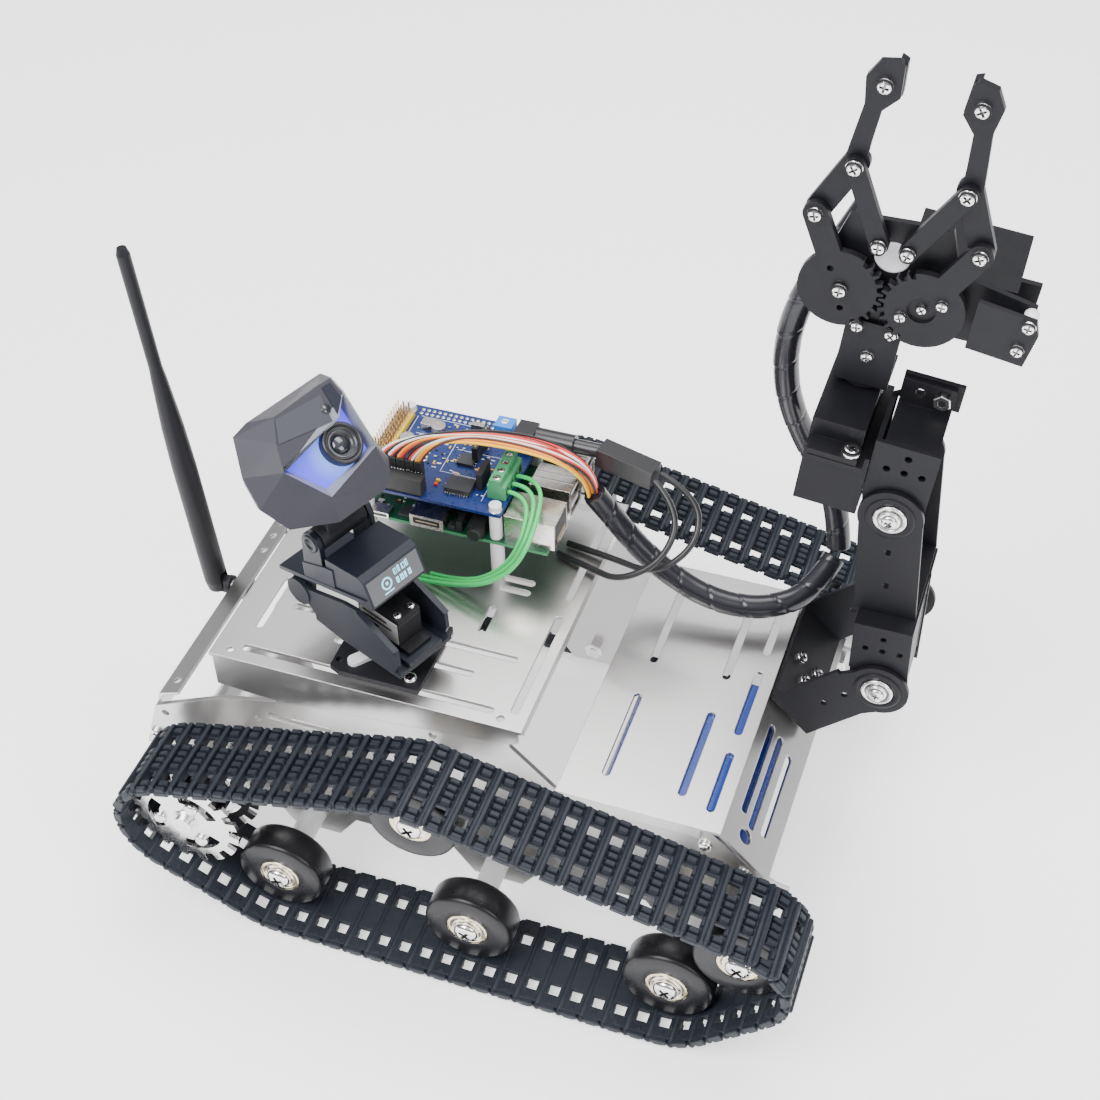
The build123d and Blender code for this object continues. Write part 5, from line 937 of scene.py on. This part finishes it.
P.box(PI_X + 32.0, PI_X + 33.6, PI_Y + 11.4, PI_Y + 12.6, z, z + 1.2, yellow, 0.1)
P.cyl((PI_X + 48.9, PI_Y + 49.5, z + 6.5), (0, 0, 1), 1.6, 0.5, white_hole, 20, 0.1)
# the trimmer's slot as a dark steel bar: painted shade
P.box(PI_X + 47.6, PI_X + 50.2, PI_Y + 49.2, PI_Y + 49.8, z + 6.9, z + 7.1, dark_steel_and_shade, 0.05)
P.box(PI_X + 42.0, PI_X + 44.6, PI_Y + 27.5, PI_Y + 42.7, z, z + 8.0, hblack, 0.2)
for k in range(6):
    P.box(PI_X + 43.0, PI_X + 43.6, PI_Y + 28.5 + 2.54 * k, PI_Y + 29.1 + 2.54 * k, z + 8.0, z + 8.3, goldpin, 0.03)
for x, y in ((3.5, 3.5), (61.5, 3.5), (3.5, 52.5), (61.5, 52.5)):
    P.lathe((PI_X + x, PI_Y + y, z), (0, 0, 1), [(3.2, 0.0), (3.2, 0.08), (1.4, 0.08)], padm, 32)
P.emit("driver_board_parts", "chassis", [], "board_blue")


def pins(x, y, zz, n):
    if x < PI_X + 8.5 and y > PI_Y + 9:
        if zz > HAT_Z + 2.4 and abs(((x - PI_X + 0.2) / 2.54) % 1 - 0.5) < 0.2:
            return goldpin
        i = int((x - PI_X + 0.2) / 2.54)
        return (hblack, brown, yellow)[max(0, min(2, i))] if zz < HAT_Z + 2.6 else goldpin
    return hblack


recolour("pin_headers", "chassis", pins)
recolour("terminal_block", "chassis", lambda x, y, zz, n: term_g)
P = Part()
for k in range(4):
    yk = PI_Y + 11.6 + 5.08 * k
    screw(P, (PI_X + 59.5, yk, HAT_Z + 9.0), (0, 0, 1), 1.65, 0.8)
    # dark patches on the block's face for the wire openings: painted shade
    P.box(PI_X + 63.95, PI_X + 64.1, yk - 1.5, yk + 1.5, HAT_Z + 1.4, HAT_Z + 4.9, hblack, 0.05)
P.emit("terminal_screws", "chassis", [], "screw_steel")
P = Part()
# plug housings stacked on the driver board's near edge
for i in range(5):
    for j in (-1, 0, 1):
        x0 = PI_X + 9.4 + 4.0 * i + 1.4 + 1.27 * j
        P.box(x0 - 0.58, x0 + 0.58, PI_Y + 6.3, PI_Y + 8.7, HAT_Z, HAT_Z + 13.2, hblack, 0.15)
        P.box(x0 - 0.3, x0 + 0.3, PI_Y + 6.15, PI_Y + 6.4, HAT_Z + 4.5, HAT_Z + 8.0, (amber, white_hole, white_hole, tin, tin)[i], 0.05)
P.emit("lead_plugs", "chassis", [], "header_black")
paint("power_plug", mat("plug_black", (0.02, 0.02, 0.022), 0.0, 0.3, bevel=0.4, bump=(1800, 0.12, 0.00006)))

# ------------------------------------------------------------------ arm: pivot rings, screws and servo detail
ex, ez = 133.9, 191.1
SH = (140.0, 107.9)
T6 = Matrix.Translation(Vector((ex, 0, ez))) @ Matrix.Rotation(math.radians(6), 4, "Y")


def pivot(P, x, y, zz, dy):
    P.lathe((x, y, zz), (0, dy, 0), [(9.6, -0.05), (9.6, 0.35), (8.9, 0.45), (6.9, 0.45), (6.7, 0.2)], blk, 56)
    P.lathe((x, y, zz), (0, dy, 0), [(6.5, 0.0), (6.5, 1.0), (6.0, 1.3), (5.2, 1.3), (5.0, 0.8)], steel_fine, 56)
    # the groove between the rings in dark steel: painted shade
    P.lathe((x, y, zz), (0, dy, 0), [(5.0, 0.8), (4.4, 0.5), (4.1, 0.5)], dark_steel_and_shade, 56)
    P.lathe((x, y, zz), (0, dy, 0), [(4.1, 0.3), (4.1, 1.6), (3.7, 1.9), (0.001, 1.9)], steel_fine, 56)
    screw(P, (x, y + dy * 1.9, zz), (0, dy, 0), 3.1, 1.5)


P = Part()
pivot(P, SH[0], 4.0, SH[1], -1)
ba = math.radians(46.0)
for u, v in ((15.0, 7.0), (12.0, 14.0)):
    pass
for k in range(4):
    a = math.radians(90 * k + 20)
    P.cyl((SH[0] + 8.0 * math.cos(a), 4.3, SH[1] + 8.0 * math.sin(a)), (0, -1, 0), 1.0, 0.2, white_hole if k % 2 else dark_steel_and_shade, 16, 0.02)
P.emit("shoulder_pivot", "chassis", [], "screw_steel")
P = Part()
pivot(P, ex, 15.0, ez, -1)
P.emit("elbow_pivot", "upper_arm", [], "screw_steel")

# gripper, wrist and flange screws over the CAD heads, each on its own body
GW, GX, GH = 81.2, -25.5, 14.8
LB, AA = (5.2, 22.0), (14.3, 27.9)


def fore_part():
    q = Part()
    q.T = T6
    return q


P = fore_part()
for dx, dz in ((51.8, 6.2), (50.5, -4.5)):
    screw(P, (GX + dx, 34.0, GW + dz), (0, -1, 0), 2.75, 1.8)
for s in (-1, 1):
    screw(P, (GX + s * LB[0], 34.4, GW + LB[1]), (0, -1, 0), 2.95, 1.9)
screw(P, (GX - GH, 34.4, GW), (0, -1, 0), 3.05, 1.9)
for dx, dz in ((-6.0, -17.2), (6.6, -17.2), (0.2, -29.4)):
    screw(P, (GX + dx, 40.0, GW + dz), (0, -1, 0), 2.75, 1.8)
P.lathe((GX, 41.9, GW + 14.0), (0, -1, 0), [(6.4, -2.0), (6.4, 0.2), (5.7, 0.3), (5.6, -1.2), (0.001, -1.2)], white_hole, 40)
for dx, dz, wd in ((51.8, 6.2, 1), (36.5, 0.0, 1)):
    P.cyl((GX + dx, 36.1, GW + dz), (0, 1, 0), 2.75, 5.8, nylon if dx > 40 else steel_fine, 28)
P.emit("gripper_screws", "gripper", [], "screw_steel")
P = fore_part()
kx = GX + GH
screw(P, (kx, 36.4, GW), (0, -1, 0), 2.35, 1.5)
for a in (35, 215):
    screw(P, (kx + 8.0 * math.cos(math.radians(a)), 35.0, GW + 8.0 * math.sin(math.radians(a))), (0, -1, 0), 2.5, 1.6)
screw(P, (GX + GH + AA[0], 35.0, GW + AA[1]), (0, -1, 0), 3.05, 1.9)
P.emit("jaw_front_screws", "jaw_front", [], "screw_steel")
P = fore_part()
screw(P, (GX - GH - AA[0], 35.0, GW + AA[1]), (0, -1, 0), 3.05, 1.9)
P.emit("jaw_rear_screws", "jaw_rear", [], "screw_steel")
for s, word in ((1, "front"), (-1, "rear")):
    P = fore_part()
    screw(P, (GX + s * (LB[0] + AA[0]), 34.6, GW + LB[1] + AA[1]), (0, -1, 0), 3.15, 1.9)
    screw(P, (GX + s * 16.2, 38.4, GW + 80.4), (0, -1, 0), 3.15, 2.0)
    P.emit("finger_screws_" + word, "fingertip_" + word, [], "screw_steel")
P = fore_part()
screw(P, (-20.6, 14.4, 26.6), (0, 0, 1), 3.75, 2.4)
hexnut(P, (5.7, 43.1, 39.0), (0, -1, 0), 3.6, 2.6, 1.6)
P.cyl((-25.5, 50.0, 34.4), (0, 0, 1), 7.05, 1.5, plast_m, 40)
# seams round the servo cases
for zz in (5.0, 21.5):
    P.box(GX - 12.08, -17.35, 18.52, 60.28, zz, zz + 0.25, hblack, 0.05)
P.emit("forearm_screws", "forearm", [], "screw_steel")
P = Part()
for u, v in ((24.0, 12.0), (33.0, 6.5), (33.0, 17.5)):
    bx, bz = 97.3 + math.sin(ba) * 2.0 + math.cos(ba) * v, 88.6 + math.cos(ba) * 2.0 - math.sin(ba) * v
    screw(P, (bx, u, bz), (math.sin(ba), 0, math.cos(ba)), 2.75, 2.0)
P.emit("base_screws", "chassis", [], "screw_steel")

# ------------------------------------------------------------------ stage and light
def plane(name, size, z, mt):
    me = bpy.data.meshes.new(name)
    me.from_pydata([(-size, -size, z), (size, -size, z), (size, size, z), (-size, size, z)], [], [(0, 1, 2, 3)])
    me.materials.append(mt)
    ob = bpy.data.objects.new(name, me)
    bpy.context.scene.collection.objects.link(ob)
    return ob


floor_m = bpy.data.materials.new("floor")
floor_m.use_nodes = True
fb = floor_m.node_tree.nodes["Principled BSDF"]
fb.inputs["Base Color"].default_value = (0.93, 0.93, 0.94, 1)
fb.inputs["Roughness"].default_value = 0.9
sock(fb, "Emission Color", (1.0, 1.0, 1.0, 1))
sock(fb, "Emission Strength", 0.95)
plane("floor", 8.0, -0.0004, floor_m)

world = bpy.data.worlds.new("world")
bpy.context.scene.world = world
world.use_nodes = True
bg = world.node_tree.nodes["Background"]
bg.inputs["Color"].default_value = (1.0, 1.0, 1.02, 1)
bg.inputs["Strength"].default_value = 1.0
# a soft box overhead that falls off towards the horizon
wn = world.node_tree
wt = wn.nodes.new("ShaderNodeTexCoord")
ws = wn.nodes.new("ShaderNodeSeparateXYZ")
wr = wn.nodes.new("ShaderNodeValToRGB")
wr.color_ramp.elements[0].position = 0.0
wr.color_ramp.elements[0].color = (0.20, 0.20, 0.215, 1)
wr.color_ramp.elements[1].position = 0.85
wr.color_ramp.elements[1].color = (1.25, 1.25, 1.27, 1)
we = wr.color_ramp.elements.new(0.35)
we.color = (0.42, 0.42, 0.44, 1)
wn.links.new(wt.outputs["Generated"], ws.inputs["Vector"])
wn.links.new(ws.outputs["Z"], wr.inputs["Fac"])
wn.links.new(wr.outputs["Color"], bg.inputs["Color"])


def area(name, loc, target, size, power, col=(1, 1, 1)):
    l = bpy.data.lights.new(name, "AREA")
    l.shape = "RECTANGLE"
    l.size, l.size_y = size
    l.energy = power
    l.color = col
    o = bpy.data.objects.new(name, l)
    bpy.context.scene.collection.objects.link(o)
    o.location = loc
    o.rotation_mode = "QUATERNION"
    o.rotation_quaternion = (Vector(target) - Vector(loc)).to_track_quat("-Z", "Y")
    return o


area("key", (-0.5, -0.9, 1.3), (0, 0, 0.08), (0.9, 0.9), 30)
area("top", (0.1, 0.5, 1.6), (0, 0, 0.08), (1.4, 0.8), 24)
area("fill", (1.2, -0.5, 0.9), (0, 0, 0.1), (0.8, 0.8), 12)
